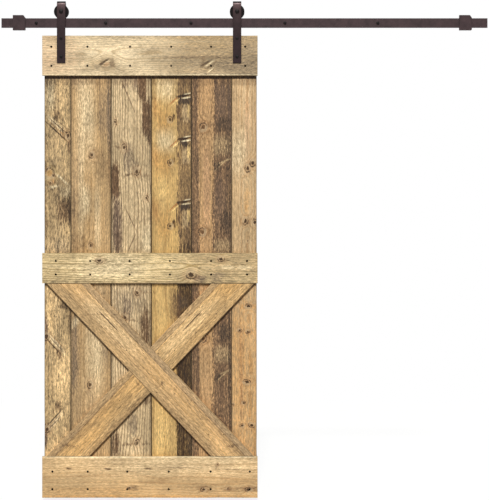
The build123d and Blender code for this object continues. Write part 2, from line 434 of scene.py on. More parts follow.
class Effects:
    """The shader node groups that the finishes share, each built once.

    Noises are sized in waves to the metre, across the grain, into the wood and along the grain.
    """

    GRAIN = "Late Wood, Fibre, Streak, Mottle, Fleck, Cloud"
    FRAY_FINE = (260.0, 260.0, 34.0)
    FRAY_BROAD = (46.0, 46.0, 11.0)
    FRAY_REACH = {0: (0.005, 0.01), 2: (0.03, 0.045)}
    FIBRE = (900.0, 900.0, 16.0)
    DRIFT = (4.0, 4.0, 1.5)
    RIPPLE = (24.0, 24.0, 5.5)
    STREAK = (75.0, 75.0, 2.2)
    MOTTLE = (190.0, 190.0, 50.0)
    DASH = (260.0, 260.0, 60.0)
    CLOUD = (11.0, 11.0, 4.5)
    KNOT_GRIT = (230.0, 230.0, 120.0)
    COAT_CLOUD = (38.0, 38.0, 38.0)
    COAT_PEEL = (900.0, 900.0, 900.0)
    COAT_BREAK = (210.0, 210.0, 210.0)

    def __init__(self) -> None:
        """Build every group."""
        self.ragged = self._ragged()
        self.grain = self._grain()
        self.stain = self._stain()
        self.knot = self._knot()
        self.pine = self._pine()
        self.edges = self._edges()
        self.coat = self._coat()
        self.band = self._band()

    def _ragged(self) -> NodeTree:
        """Fray grain coordinates, so that marks get broken edges along the fibres.

        Returns:
            The group's tree.
        """
        draft = GroupDraft(
            "frayed_grain", {"Vector": Vector, "Seed": float, "Strength": float}, {"Vector": Vector}
        )
        graph, given = draft.graph, draft.given
        fine, broad = (
            graph.minus(graph.noise(given["Vector"], cells, 2.0, 0.6, given["Seed"]), 0.5)
            for cells in (self.FRAY_FINE, self.FRAY_BROAD)
        )
        reach = {
            axis: graph.plus(graph.times(fine, short), graph.times(broad, wide))
            for axis, (short, wide) in self.FRAY_REACH.items()
        }
        push = graph.scaled(graph.wire("ShaderNodeCombineXYZ", reach), given["Strength"])
        moved = graph.wire("ShaderNodeVectorMath", {0: given["Vector"], 1: push}, operation="ADD")
        return draft.put(Vector=moved)

    def _grain(self) -> NodeTree:
        """Lay growth rings round a pith line behind the face, with fibres and broad streaks.

        Returns:
            The group's tree.
        """
        draft = GroupDraft(
            "pine_grain",
            {"Vector": Vector, **floats("Pith Across, Pith Depth, Ring, Line, Wander, Swirl, Seed")},
            floats(self.GRAIN),
        )
        graph, given = draft.graph, draft.given
        place, seed = given["Vector"], given["Seed"]
        fibre = graph.noise(place, self.FIBRE, 3.0, 0.6, seed)
        slow = graph.minus(graph.noise(place, self.DRIFT, seed=seed), 0.5)
        ripple = graph.minus(graph.noise(place, self.RIPPLE, seed=seed), 0.5)
        axes = graph.axes(place)
        drift = graph.times(slow, 4.0, given["Wander"])
        across = graph.plus(graph.minus(axes[0], given["Pith Across"]), drift)
        deep = graph.plus(axes[1], given["Pith Depth"])
        radius = graph.math("SQRT", graph.plus(graph.times(across, across), graph.times(deep, deep)))
        bent = graph.ramp(ripple, 0.007, graph.ramp(fibre, 0.0026, given["Swirl"]))
        turns = graph.math("DIVIDE", graph.plus(radius, bent), given["Ring"])
        share = graph.math("FRACT", turns)
        line = graph.times(graph.smooth(share, given["Line"], 0.88), graph.smooth(share, 0.9, 1.0, 1.0, 0.0))
        count = graph.plus(graph.math("FLOOR", turns), seed)
        year = graph.wire("ShaderNodeTexWhiteNoise", {"W": count}, noise_dimensions="1D")
        late = graph.times(line, graph.ramp(year, 0.7, 0.5))
        return draft.put(
            Late_Wood=graph.ramp(line, 0.3, late),
            Fibre=fibre,
            Streak=graph.noise(place, self.STREAK, 4.0, 0.78, seed),
            Mottle=graph.noise(place, self.MOTTLE, 4.0, 0.8, seed),
            Fleck=graph.smooth(graph.noise(place, self.DASH, 3.0, 0.65, seed), 0.52, 0.7),
            Cloud=graph.noise(place, self.CLOUD, 4.0, 0.6, seed),
        )

    def _stain(self) -> NodeTree:
        """Mask one rounded patch.

        Returns:
            The group's tree.
        """
        draft = GroupDraft(
            "patch_mask",
            {"Vector": Vector, **floats("Across, Along, Half Width, Half Length, Softness, Lean, Fray")},
            {"Mask": float},
        )
        graph, given = draft.graph, draft.given
        axes = graph.axes(given["Vector"])
        side = graph.minus(axes[0], given["Across"])
        down = graph.minus(graph.minus(axes[2], given["Along"]), graph.times(side, given["Lean"]))
        cubes = [
            graph.math("POWER", graph.math("ABSOLUTE", graph.math("DIVIDE", reach, given[size])), 3.0)
            for reach, size in ((side, "Half Width"), (down, "Half Length"))
        ]
        far = graph.plus(graph.math("POWER", graph.plus(*cubes), 1 / 3), given["Fray"])
        low, high = graph.minus(1.0, given["Softness"]), graph.plus(1.0, given["Softness"])
        return draft.put(Mask=graph.smooth(far, low, high, 1.0, 0.0))

    def _knot(self) -> NodeTree:
        """Mask one knot's heart and halo, and give how far it bends the rings.

        Returns:
            The group's tree.
        """
        draft = GroupDraft(
            "knot_mask",
            {"Vector": Vector, **floats("Across, Along, Radius, Stretch, Fill, Turn")},
            floats("Heart, Light, Halo, Swirl"),
        )
        graph, given = draft.graph, draft.given
        axes = graph.axes(given["Vector"])
        side = graph.math("DIVIDE", graph.minus(axes[0], given["Across"]), given["Radius"])
        long_radius = graph.times(given["Radius"], given["Stretch"])
        down = graph.math("DIVIDE", graph.minus(axes[2], given["Along"]), long_radius)
        square = graph.plus(graph.times(side, side), graph.times(down, down))
        grit = graph.noise(given["Vector"], self.KNOT_GRIT, 2.0, 0.6, given["Turn"])
        far = graph.ramp(graph.minus(grit, 0.5), 0.9, graph.math("SQRT", square))
        rim = graph.times(graph.smooth(far, 0.72, 0.92), graph.smooth(far, 0.98, 1.25, 1.0, 0.0))
        core = graph.times(graph.smooth(far, 0.4, 0.68, 1.0, 0.0), given["Fill"])
        slant = graph.plus(
            graph.times(down, graph.math("COSINE", given["Turn"])),
            graph.times(side, graph.math("SINE", given["Turn"])),
        )
        lower = graph.smooth(slant, -0.7, 0.6, 0.2, 1.0)
        ring = graph.times(graph.smooth(far, 0.5, 0.7), graph.smooth(far, 0.85, 1.7, 1.0, 0.0))
        swirl = graph.math("EXPONENT", graph.times(square, -0.3))
        return draft.put(
            Heart=graph.math("MAXIMUM", graph.times(rim, lower), core),
            Light=graph.times(ring, graph.smooth(slant, -0.9, 0.7, 1.0, 0.3)),
            Halo=graph.smooth(far, 0.6, 2.4, 1.0, 0.0),
            Swirl=graph.times(swirl, graph.times(given["Radius"], 1.1)),
        )

    def _pine(self) -> NodeTree:
        """Colour bare pine from its grain, and give its height for bump.

        Returns:
            The group's tree.
        """
        draft = GroupDraft(
            "pine_colour",
            {
                "Early": Colour,
                "Late": Colour,
                "Weather": Colour,
                **floats(self.GRAIN),
                **floats("Contrast, Mottle Depth, Weathering, Patch"),
            },
            {"Color": Colour, **floats("Shade, Height, Roughness")},
        )
        graph, given = draft.graph, draft.given
        late, fibre, mottle = given["Late Wood"], given["Fibre"], given["Mottle"]
        rings = graph.mix(graph.times(late, given["Contrast"]), given["Early"], given["Late"])
        worn = graph.times(graph.smooth(given["Cloud"], 0.62, 0.36), given["Weathering"])
        rings = graph.mix(worn, rings, given["Weather"])
        grit = graph.times(graph.minus(mottle, 0.5), given["Mottle Depth"])
        dash = graph.times(given["Fleck"], given["Mottle Depth"])
        shade = graph.times(
            graph.ramp(given["Streak"], 0.9, 0.55),
            graph.ramp(fibre, 0.3, 0.85),
            graph.times(graph.ramp(grit, 7.0, 1.0), graph.ramp(dash, -1.4, 1.13)),
            graph.ramp(graph.minus(given["Cloud"], 0.5), given["Patch"], 1.0),
        )
        return draft.put(
            Color=graph.scaled(rings, shade),
            Shade=shade,
            Height=graph.plus(
                graph.times(late, 0.5), graph.plus(graph.times(fibre, 0.6), graph.times(mottle, 0.5))
            ),
            Roughness=graph.smooth(late, 0.0, 1.0, 0.72, 0.5),
        )

    def _edges(self) -> NodeTree:
        """Find the sharp edges of a piece and round its normals there.

        Returns:
            The group's tree.
        """
        draft = GroupDraft("worn_edges", {"Radius": float}, {"Mask": float, "Normal": Vector})
        graph = draft.graph
        soft = graph.wire("ShaderNodeBevel", {"Radius": draft.given["Radius"]}, samples=4)
        flat = graph.wire("ShaderNodeNewGeometry", {}, "Normal")
        facing = graph.wire("ShaderNodeVectorMath", {0: soft, 1: flat}, "Value", operation="DOT_PRODUCT")
        return draft.put(Mask=graph.smooth(facing, 0.8, 0.995, 1.0, 0.0), Normal=soft)

    def _coat(self) -> NodeTree:
        """Make the noises of rubbed powder coat: cloudy shade, fine peel and broken wear.

        Returns:
            The group's tree.
        """
        draft = GroupDraft("rubbed_coat", {"Vector": Vector}, floats("Cloud, Peel, Break"))
        graph, place = draft.graph, draft.given["Vector"]
        return draft.put(
            Cloud=graph.noise(place, self.COAT_CLOUD, 4.0, 0.6),
            Peel=graph.noise(place, self.COAT_PEEL),
            Break=graph.noise(place, self.COAT_BREAK, 3.0, 0.7),
        )

    def _band(self) -> NodeTree:
        """Mask a level band.

        Returns:
            The group's tree.
        """
        draft = GroupDraft("level_band", floats("Height, Upper, Lower, Softness"), {"Mask": float})
        graph, given = draft.graph, draft.given
        soft = given["Softness"]
        low, high = (
            graph.smooth(given["Height"], graph.minus(given[side], soft), graph.plus(given[side], soft))
            for side in ("Lower", "Upper")
        )
        return draft.put(Mask=graph.minus(low, high))


@dataclass(frozen=True)
class GrainFrame:
    """Where a plank's grain runs: its upper starting corner on the face, its slope and its size."""

    corner: Vector
    slope: float
    mirrored: bool
    width: float
    length: float

    @property
    def hand(self) -> float:
        """One, or minus one where the plank runs from the right to the left."""
        return -1.0 if self.mirrored else 1.0

    @property
    def across(self) -> Vector:
        """The direction across the grain, from the upper edge to the lower one."""
        return Vector((-self.hand * math.sin(self.slope), 0.0, -math.cos(self.slope)))

    @property
    def along(self) -> Vector:
        """The direction along the grain."""
        return Vector((self.hand * math.cos(self.slope), 0.0, -math.sin(self.slope)))

    def point(self, across: float, depth: float, along: float) -> Vector:
        """Give the point at these distances from the corner, depth into the wood."""
        return self.corner + self.across * across + self.along * along + Vector((0.0, depth, 0.0))

    def place(self, point: Vector) -> Pair:
        """Give a point's distances across and along the grain."""
        reach = point - self.corner
        return reach.dot(self.across), reach.dot(self.along)

    def spot(self, mark: Stain | Knot) -> dict[str, float]:
        """Give a mark's distances across and along the grain, as its mask takes them."""
        return {"Across": mark.across * self.width, "Along": mark.along * self.length}

    def mapping(self, graph: Graph) -> Socket:
        """Add the nodes that turn Object coordinates into grain coordinates.

        Args:
            graph: The material's graph.

        Returns:
            The vector of distance across, depth and distance along.
        """
        turn = -math.pi / 2 - self.slope
        flipped = self.hand * self.corner.x
        start = Vector(
            (
                flipped * math.cos(turn) + self.corner.z * math.sin(turn),
                self.corner.y,
                -flipped * math.sin(turn) + self.corner.z * math.cos(turn),
            )
        )
        feeds = {
            "Vector": graph.wire("ShaderNodeTexCoord", {}, "Object"),
            "Location": -start,
            "Rotation": (0.0, turn, 0.0),
            "Scale": (self.hand, 1.0, 1.0),
        }
        return graph.wire("ShaderNodeMapping", feeds)


class Finisher:
    """Builds the materials from the finishes."""

    FRAYS = (0.7, 0.35)
    STAIN_FRAY = 1.1
    PATCHINESS = 1.5
    FACE_DEPTHS = (0.003, 0.008)
    KNOT_HALO = 0.35
    JOINT_EDGE = 0.0018
    JOINT_RAGGED = 0.004
    HAZE_EDGE = 0.004
    HAZE_RAGGED = 0.03
    HAZE_LEVEL = 0.25
    TIMBER_EDGE = 0.003
    TIMBER_RUB = 0.5
    TIMBER_SHEEN = 0.3
    TIMBER_BUMP = {"Strength": 0.7, "Distance": 0.0011}
    PEEL_DEPTH = 0.0004

    def __init__(self, effects: Effects) -> None:
        """Keep the shared node groups."""
        self.effects = effects

    @staticmethod
    def _blank(name: str) -> tuple[Material, Graph, Node]:
        """Make a material with one surface shader.

        Args:
            name: The material's name.

        Returns:
            The material, its graph and its shader node.
        """
        material = bpy.data.materials.new(name)
        material.use_nodes = True
        tree = material.node_tree
        return material, Graph(tree), tree.nodes["Principled BSDF"]

    def pine(self, name: str, finish: PineFinish, frame: GrainFrame) -> Material:
        """Make one plank's material.

        Args:
            name: The material's name.
            finish: The plank's wood and marks.
            frame: Where its grain runs.

        Returns:
            The material.
        """
        material, graph, shader = self._blank(name)
        place = frame.mapping(graph)
        frayed, nudged = (
            graph.group(self.effects.ragged, Vector=place, Seed=finish.seed, Strength=strength)["Vector"]
            for strength in self.FRAYS
        )
        knots = [
            graph.group(
                self.effects.knot,
                Vector=nudged,
                Radius=knot.radius,
                Stretch=knot.stretch,
                Fill=knot.fill,
                Turn=knot.turn,
                **frame.spot(knot),
            )
            for knot in finish.knots
        ]
        swirl: Feed = 0.0
        for masks in knots:
            swirl = graph.plus(masks["Swirl"], swirl)
        grain = graph.group(
            self.effects.grain,
            Vector=place,
            Pith_Across=finish.pith_share * frame.width,
            Pith_Depth=finish.pith_depth,
            Ring=finish.ring,
            Line=finish.line,
            Wander=finish.wander,
            Swirl=swirl,
            Seed=finish.seed,
        )
        wood = graph.group(
            self.effects.pine,
            Early=linear(finish.early),
            Late=linear(finish.late),
            Contrast=finish.contrast,
            Mottle_Depth=finish.mottle,
            Weather=linear(finish.weather),
            Weathering=finish.weathering,
            Patch=finish.patch,
            **{name: grain[name] for name in floats(Effects.GRAIN)},
        )
        colour = self._stained(graph, finish, frame, (place, frayed), grain, wood)
        for knot, masks in zip(finish.knots, knots):
            for label, share, tint in (
                ("Halo", self.KNOT_HALO, knot.halo),
                ("Light", self.KNOT_HALO, Tint.CREAM),
                ("Heart", 1.0, knot.heart),
            ):
                amount = graph.times(masks[label], share * knot.strength)
                colour = graph.mix(amount, colour, tint.linear)
        if finish.grime:
            colour = self._joint_grime(graph, finish.grime, frame, place, grain["Mottle"], colour)
        edge = graph.group(self.effects.edges, Radius=self.TIMBER_EDGE)["Mask"]
        bare = graph.times(edge, graph.times(grain["Streak"], self.TIMBER_RUB))
        colour = graph.mix(bare, colour, Tint.CREAM.linear)
        bump = graph.wire("ShaderNodeBump", {**self.TIMBER_BUMP, "Height": wood["Height"]})
        graph.feed(shader.inputs["Base Color"], colour)
        graph.feed(shader.inputs["Roughness"], wood["Roughness"])
        graph.feed(shader.inputs["Specular IOR Level"], self.TIMBER_SHEEN)
        graph.feed(shader.inputs["Normal"], bump)
        return material

    def _stained(
        self,
        graph: Graph,
        finish: PineFinish,
        frame: GrainFrame,
        places: tuple[Socket, Socket],
        grain: Sockets,
        wood: Sockets,
    ) -> Socket:
        """Lay the finish's stains over the bare wood's colour.

        Args:
            graph: The material's graph.
            finish: The plank's wood and marks.
            frame: Where its grain runs.
            places: Plain and frayed grain coordinates.
            grain: Outputs of the grain group.
            wood: Outputs of the group that colours bare pine.

        Returns:
            The stained colour.
        """
        colour = wood["Color"]
        rough = graph.minus(graph.plus(grain["Streak"], grain["Mottle"]), 1.0)
        soaked = graph.smooth(rough, -0.3, 0.4, 0.3, -0.65)
        cleared = graph.smooth(rough, -0.4, 0.3, -0.6, 0.3)
        uneven = graph.times(wood["Shade"], graph.ramp(grain["Mottle"], 1.9, 0.05))
        face = graph.smooth(graph.axes(places[0])[1], *self.FACE_DEPTHS, 1.0, 0.0)
        for stain in finish.stains:
            way, patches = (-1.0, cleared) if stain.tint.pale else (1.0, soaked)
            mask = graph.group(
                self.effects.stain,
                Vector=places[stain.soaks],
                Half_Width=stain.half_width,
                Half_Length=stain.half_length,
                Softness=stain.softness,
                Lean=stain.lean,
                Fray=graph.times(rough, way * self.STAIN_FRAY * stain.fray),
                **frame.spot(stain),
            )["Mask"]
            patchy = graph.ramp(patches, min(1.0, self.PATCHINESS * stain.fray), 1.0)
            amount = graph.math("MULTIPLY", graph.times(mask, stain.strength), patchy, clamp=True)
            if not stain.soaks:
                amount = graph.times(amount, face)
            colour = graph.mix(amount, colour, graph.scaled(stain.tint.linear[:3], uneven))
        return colour

    def _joint_grime(
        self, graph: Graph, amount: float, frame: GrainFrame, place: Socket, mottle: Socket, colour: Socket
    ) -> Socket:
        """Darken a board beside its two long joints.

        Args:
            graph: The material's graph.
            amount: How dark the joint is, from 0 to 1.
            frame: Where the grain runs.
            place: Grain coordinates.
            mottle: Noise that breaks the line.
            colour: The colour so far.

        Returns:
            The darkened colour.
        """
        side = graph.axes(place)[0]
        near = graph.math("MINIMUM", side, graph.minus(frame.width, side))
        ragged = graph.ramp(mottle, self.JOINT_RAGGED, self.JOINT_EDGE)
        line = graph.smooth(near, self.JOINT_EDGE, ragged, 1.0, 0.0)
        hazy = graph.ramp(mottle, self.HAZE_RAGGED, self.HAZE_EDGE)
        haze = graph.smooth(near, 0.0, hazy, self.HAZE_LEVEL, 0.0)
        both = graph.times(graph.math("MAXIMUM", line, haze), amount)
        return graph.mix(both, colour, Tint.KNOT.linear)

    def steel(self, finish: SteelFinish, top: float = 0.0) -> Material:
        """Make a coated steel material.

        Args:
            finish: The coat, its wear and its gloss.
            top: The height that its bands are measured from.

        Returns:
            The material.
        """
        material, graph, shader = self._blank(finish.name)
        place = graph.wire("ShaderNodeTexCoord", {}, "Object")
        coat = graph.group(self.effects.coat, Vector=place)
        edge = graph.group(self.effects.edges, Radius=finish.edge)
        base = graph.scaled(linear(finish.coat)[:3], graph.smooth(coat["Cloud"], 0.2, 0.8, 0.7, 1.3))
        height = graph.axes(place)[2]
        # The bands paint highlight and shade into the coat's colour, by height.
        for band in finish.bands:
            mask = graph.group(
                self.effects.band,
                Height=height,
                Upper=top - band.start,
                Lower=top - band.end,
                Softness=band.softness,
            )["Mask"]
            base = graph.mix(graph.times(mask, band.strength), base, linear(band.tint))
        rub = graph.times(edge["Mask"], graph.smooth(coat["Break"], 0.3, 0.7, 0.2, 1.0))
        colour = graph.mix(graph.times(rub, finish.wear), base, linear(finish.worn))
        rough = graph.smooth(coat["Cloud"], 0.2, 0.8, finish.roughness - 0.07, finish.roughness + 0.1)
        peel = {"Strength": finish.peel, "Distance": self.PEEL_DEPTH, "Height": coat["Peel"]}
        bump = graph.wire("ShaderNodeBump", {**peel, "Normal": edge["Normal"]})
        graph.feed(shader.inputs["Base Color"], colour)
        graph.feed(shader.inputs["Roughness"], rough)
        graph.feed(shader.inputs["Metallic"], finish.metallic)
        graph.feed(shader.inputs["Specular IOR Level"], finish.sheen)
        graph.feed(shader.inputs["Normal"], bump)
        return material


def span(node: str) -> tuple[Vector, Vector]:
    """Give the lowest and the highest corner of a CAD node's box."""
    low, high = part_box(node)
    return Vector(low), Vector(high)


def settled(sheet: bmesh.types.BMesh, name: str) -> Mesh:
    """Turn a mesh that was drawn face by face into a plain one.

    Args:
        sheet: The drawn mesh, which is freed.
        name: The plain mesh's name.

    Returns:
        The plain mesh.
    """
    mesh = bpy.data.meshes.new(name)
    sheet.to_mesh(mesh)
    sheet.free()
    return mesh


def new_piece(name: str, mesh: Mesh, material: Material | None = None) -> Object:
    """Link a mesh into the scene as a finished piece.

    Args:
        name: The piece's name.
        mesh: Its mesh, in place.
        material: Its material, where the mesh has none yet.

    Returns:
        The object, at the origin.
    """
    mesh.name = name
    if material is not None:
        mesh.materials.clear()
        mesh.materials.append(material)
    mesh.polygons.foreach_set("use_smooth", [True] * len(mesh.polygons))
    mesh.set_sharp_from_angle(angle=SHARP_ANGLE)
    piece = bpy.data.objects.new(name, mesh)
    bpy.context.scene.collection.objects.link(piece)
    return piece


def hand_over(piece: Object, body: Body, slot: Slot, *nodes: str) -> None:
    """Tie a piece to its body, and let it stand for CAD nodes.

    Args:
        piece: The finished piece.
        body: The body that it rides on.
        slot: The record's material slot; not used.
        *nodes: The CAD nodes that it replaces.
    """
    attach(piece, body.value)
    if nodes:
        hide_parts(*nodes)
    LOG.info("%s rides on %s, %d faces", piece.name, body.value, len(piece.data.polygons))


def dress(node: Object, material: Material) -> None:
    """Give a CAD node a better material.

    Args:
        node: The node's object.
        material: What it wears from now on.
    """
    node.data.materials.clear()
    node.data.materials.append(material)
    LOG.info("%s wears %s", node.name, material.name)


@dataclass(frozen=True)
class Plank:
    """One piece of timber, built along its grain frame from a cross-section.

    The chart is the flat map of its texture: the sides lie in strips, and the two ends at its right rim.
    """

    name: str
    frame: GrainFrame
    section: tuple[Pair, ...]
    thickness: float
    starts: Pair
    ends: Pair
    ease: float = 0.0016
    hollow: float = 0.00045
    hollow_waves: Pair = (14.0, 2.4)
    nick: float = 0.0016
    nick_waves: float = 9.0
    nick_start: float = 0.12
    spacing: float = 0.009
    long_spacing: float = 2.6
    strips: int = 2
    chart_sides: float = 0.94
    chart_ends: Pair = (0.01, 0.51)
    seed: float = 0.0

    def _outline(self) -> list[Pair]:
        """Divide the long sides of the section.

        Returns:
            Points as distances across and into the wood.
        """
        points: list[Pair] = []
        for start, end in zip(self.section, self.section[1:] + self.section[:1]):
            run = math.dist(start, end)
            parts = max(1, math.ceil(run / self.spacing))
            points += [
                (
                    start[0] + (end[0] - start[0]) * step / parts,
                    start[1] + (end[1] - start[1]) * step / parts,
                )
                for step in range(parts)
            ]
        return points

    def _stations(self) -> list[float]:
        """Choose where the section is repeated, closer together at the ends.

        Returns:
            Shares of the length.
        """
        tip = self.ease / self.frame.length
        parts = max(2, 2 * math.ceil(self.frame.length / self.spacing / self.long_spacing))
        inner = [step / parts for step in range(1, parts)]
        return [0.0, tip, *inner, 1.0 - tip, 1.0]

    def _worn(self, across: float, depth: float, along: float) -> Pair:
        """Hollow the faces a little and nick the long edges, always into the wood.

        Args:
            across: Distance across the grain.
            depth: Distance into the wood.
            along: Distance along the grain.

        Returns:
            The worn distances across and into the wood.
        """
        cross_waves, long_waves = self.hollow_waves
        spot = Vector((across * cross_waves + self.seed, self.seed, along * long_waves))
        sink = self.hollow * (0.5 + 0.5 * noise.noise(spot))
        if depth < self.ease / 2:
            depth += sink
        elif depth > self.thickness - self.ease / 2:
            depth -= sink
        rim = 3 * self.ease
        nicked = noise.noise(Vector((along * self.nick_waves, self.seed, across))) - self.nick_start
        chip = self.nick * max(0.0, nicked)
        if 0.0 <= across < rim:
            across += chip
        elif self.frame.width - rim < across <= self.frame.width:
            across -= chip
        return across, depth

    def _rings(
        self, sheet: bmesh.types.BMesh, outline: Sequence[Pair], stations: Sequence[float]
    ) -> list[list[bmesh.types.BMVert]]:
        """Set the section's points at each station.

        Args:
            sheet: The mesh that they go into.
            outline: The section's points.
            stations: Shares of the length.

        Returns:
            The points of each station.
        """
        rings = []
        for share in stations:
            ring = []
            for across, depth in outline:
                part = min(1.0, max(0.0, across / self.frame.width))
                start = self.starts[0] + (self.starts[1] - self.starts[0]) * part
                end = self.ends[0] + (self.ends[1] - self.ends[0]) * part
                along = start + (end - start) * share
                side, sunk = self._worn(across, depth, along)
                if share in (0.0, 1.0):
                    sunk = max(sunk, self.ease)
                ring.append(sheet.verts.new(self.frame.point(side, sunk, along)))
            rings.append(ring)
        return rings

    def mesh(self) -> Mesh:
        """Build the plank's mesh with a chart for its texture.

        Returns:
            The mesh, in place.
        """
        outline, stations = self._outline(), self._stations()
        sheet = bmesh.new()
        chart = sheet.loops.layers.uv.new("OFBake")
        rings = self._rings(sheet, outline, stations)
        runs = [math.dist(first, second) for first, second in zip(outline, outline[1:] + outline[:1])]
        girth = [sum(runs[:count]) / sum(runs) for count in range(len(runs) + 1)]
        for level, (low, high) in enumerate(zip(rings, rings[1:])):
            strip = min(self.strips - 1, int(stations[level] * self.strips + 1e-6))
            for index in range(len(outline)):
                other = (index + 1) % len(outline)
                face = sheet.faces.new((low[index], low[other], high[other], high[index]))
                turns = (girth[index], girth[index + 1], girth[index + 1], girth[index])
                steps = (stations[level], stations[level], stations[level + 1], stations[level + 1])
                for loop, turn, step in zip(face.loops, turns, steps):
                    left = (strip + 0.01 + 0.98 * turn) * self.chart_sides / self.strips
                    loop[chart].uv = (left, 0.005 + 0.99 * min(1.0, step * self.strips - strip))
        for ring, base in zip((rings[0], rings[-1]), self.chart_ends):
            cap = sheet.faces.new(ring)
            for loop, (across, depth) in zip(cap.loops, outline):
                left = self.chart_sides + 0.01 + 0.045 * depth / self.thickness
                loop[chart].uv = (left, base + 0.45 * across / self.frame.width)
        bmesh.ops.recalc_face_normals(sheet, faces=sheet.faces)
        return settled(sheet, self.name)


def eased_section(width: float, thickness: float, ease: float) -> tuple[Pair, ...]:
    """Give a plain plank's section, eased along its two front edges.

    Args:
        width: Size across the grain.
        thickness: Size into the wood.
        ease: Size of the eased edge.

    Returns:
        Corners as distances across and into the wood.
    """
    front = ((0.0, ease), (ease, 0.0), (width - ease, 0.0), (width, ease))
    return (*front, (width, thickness), (0.0, thickness))


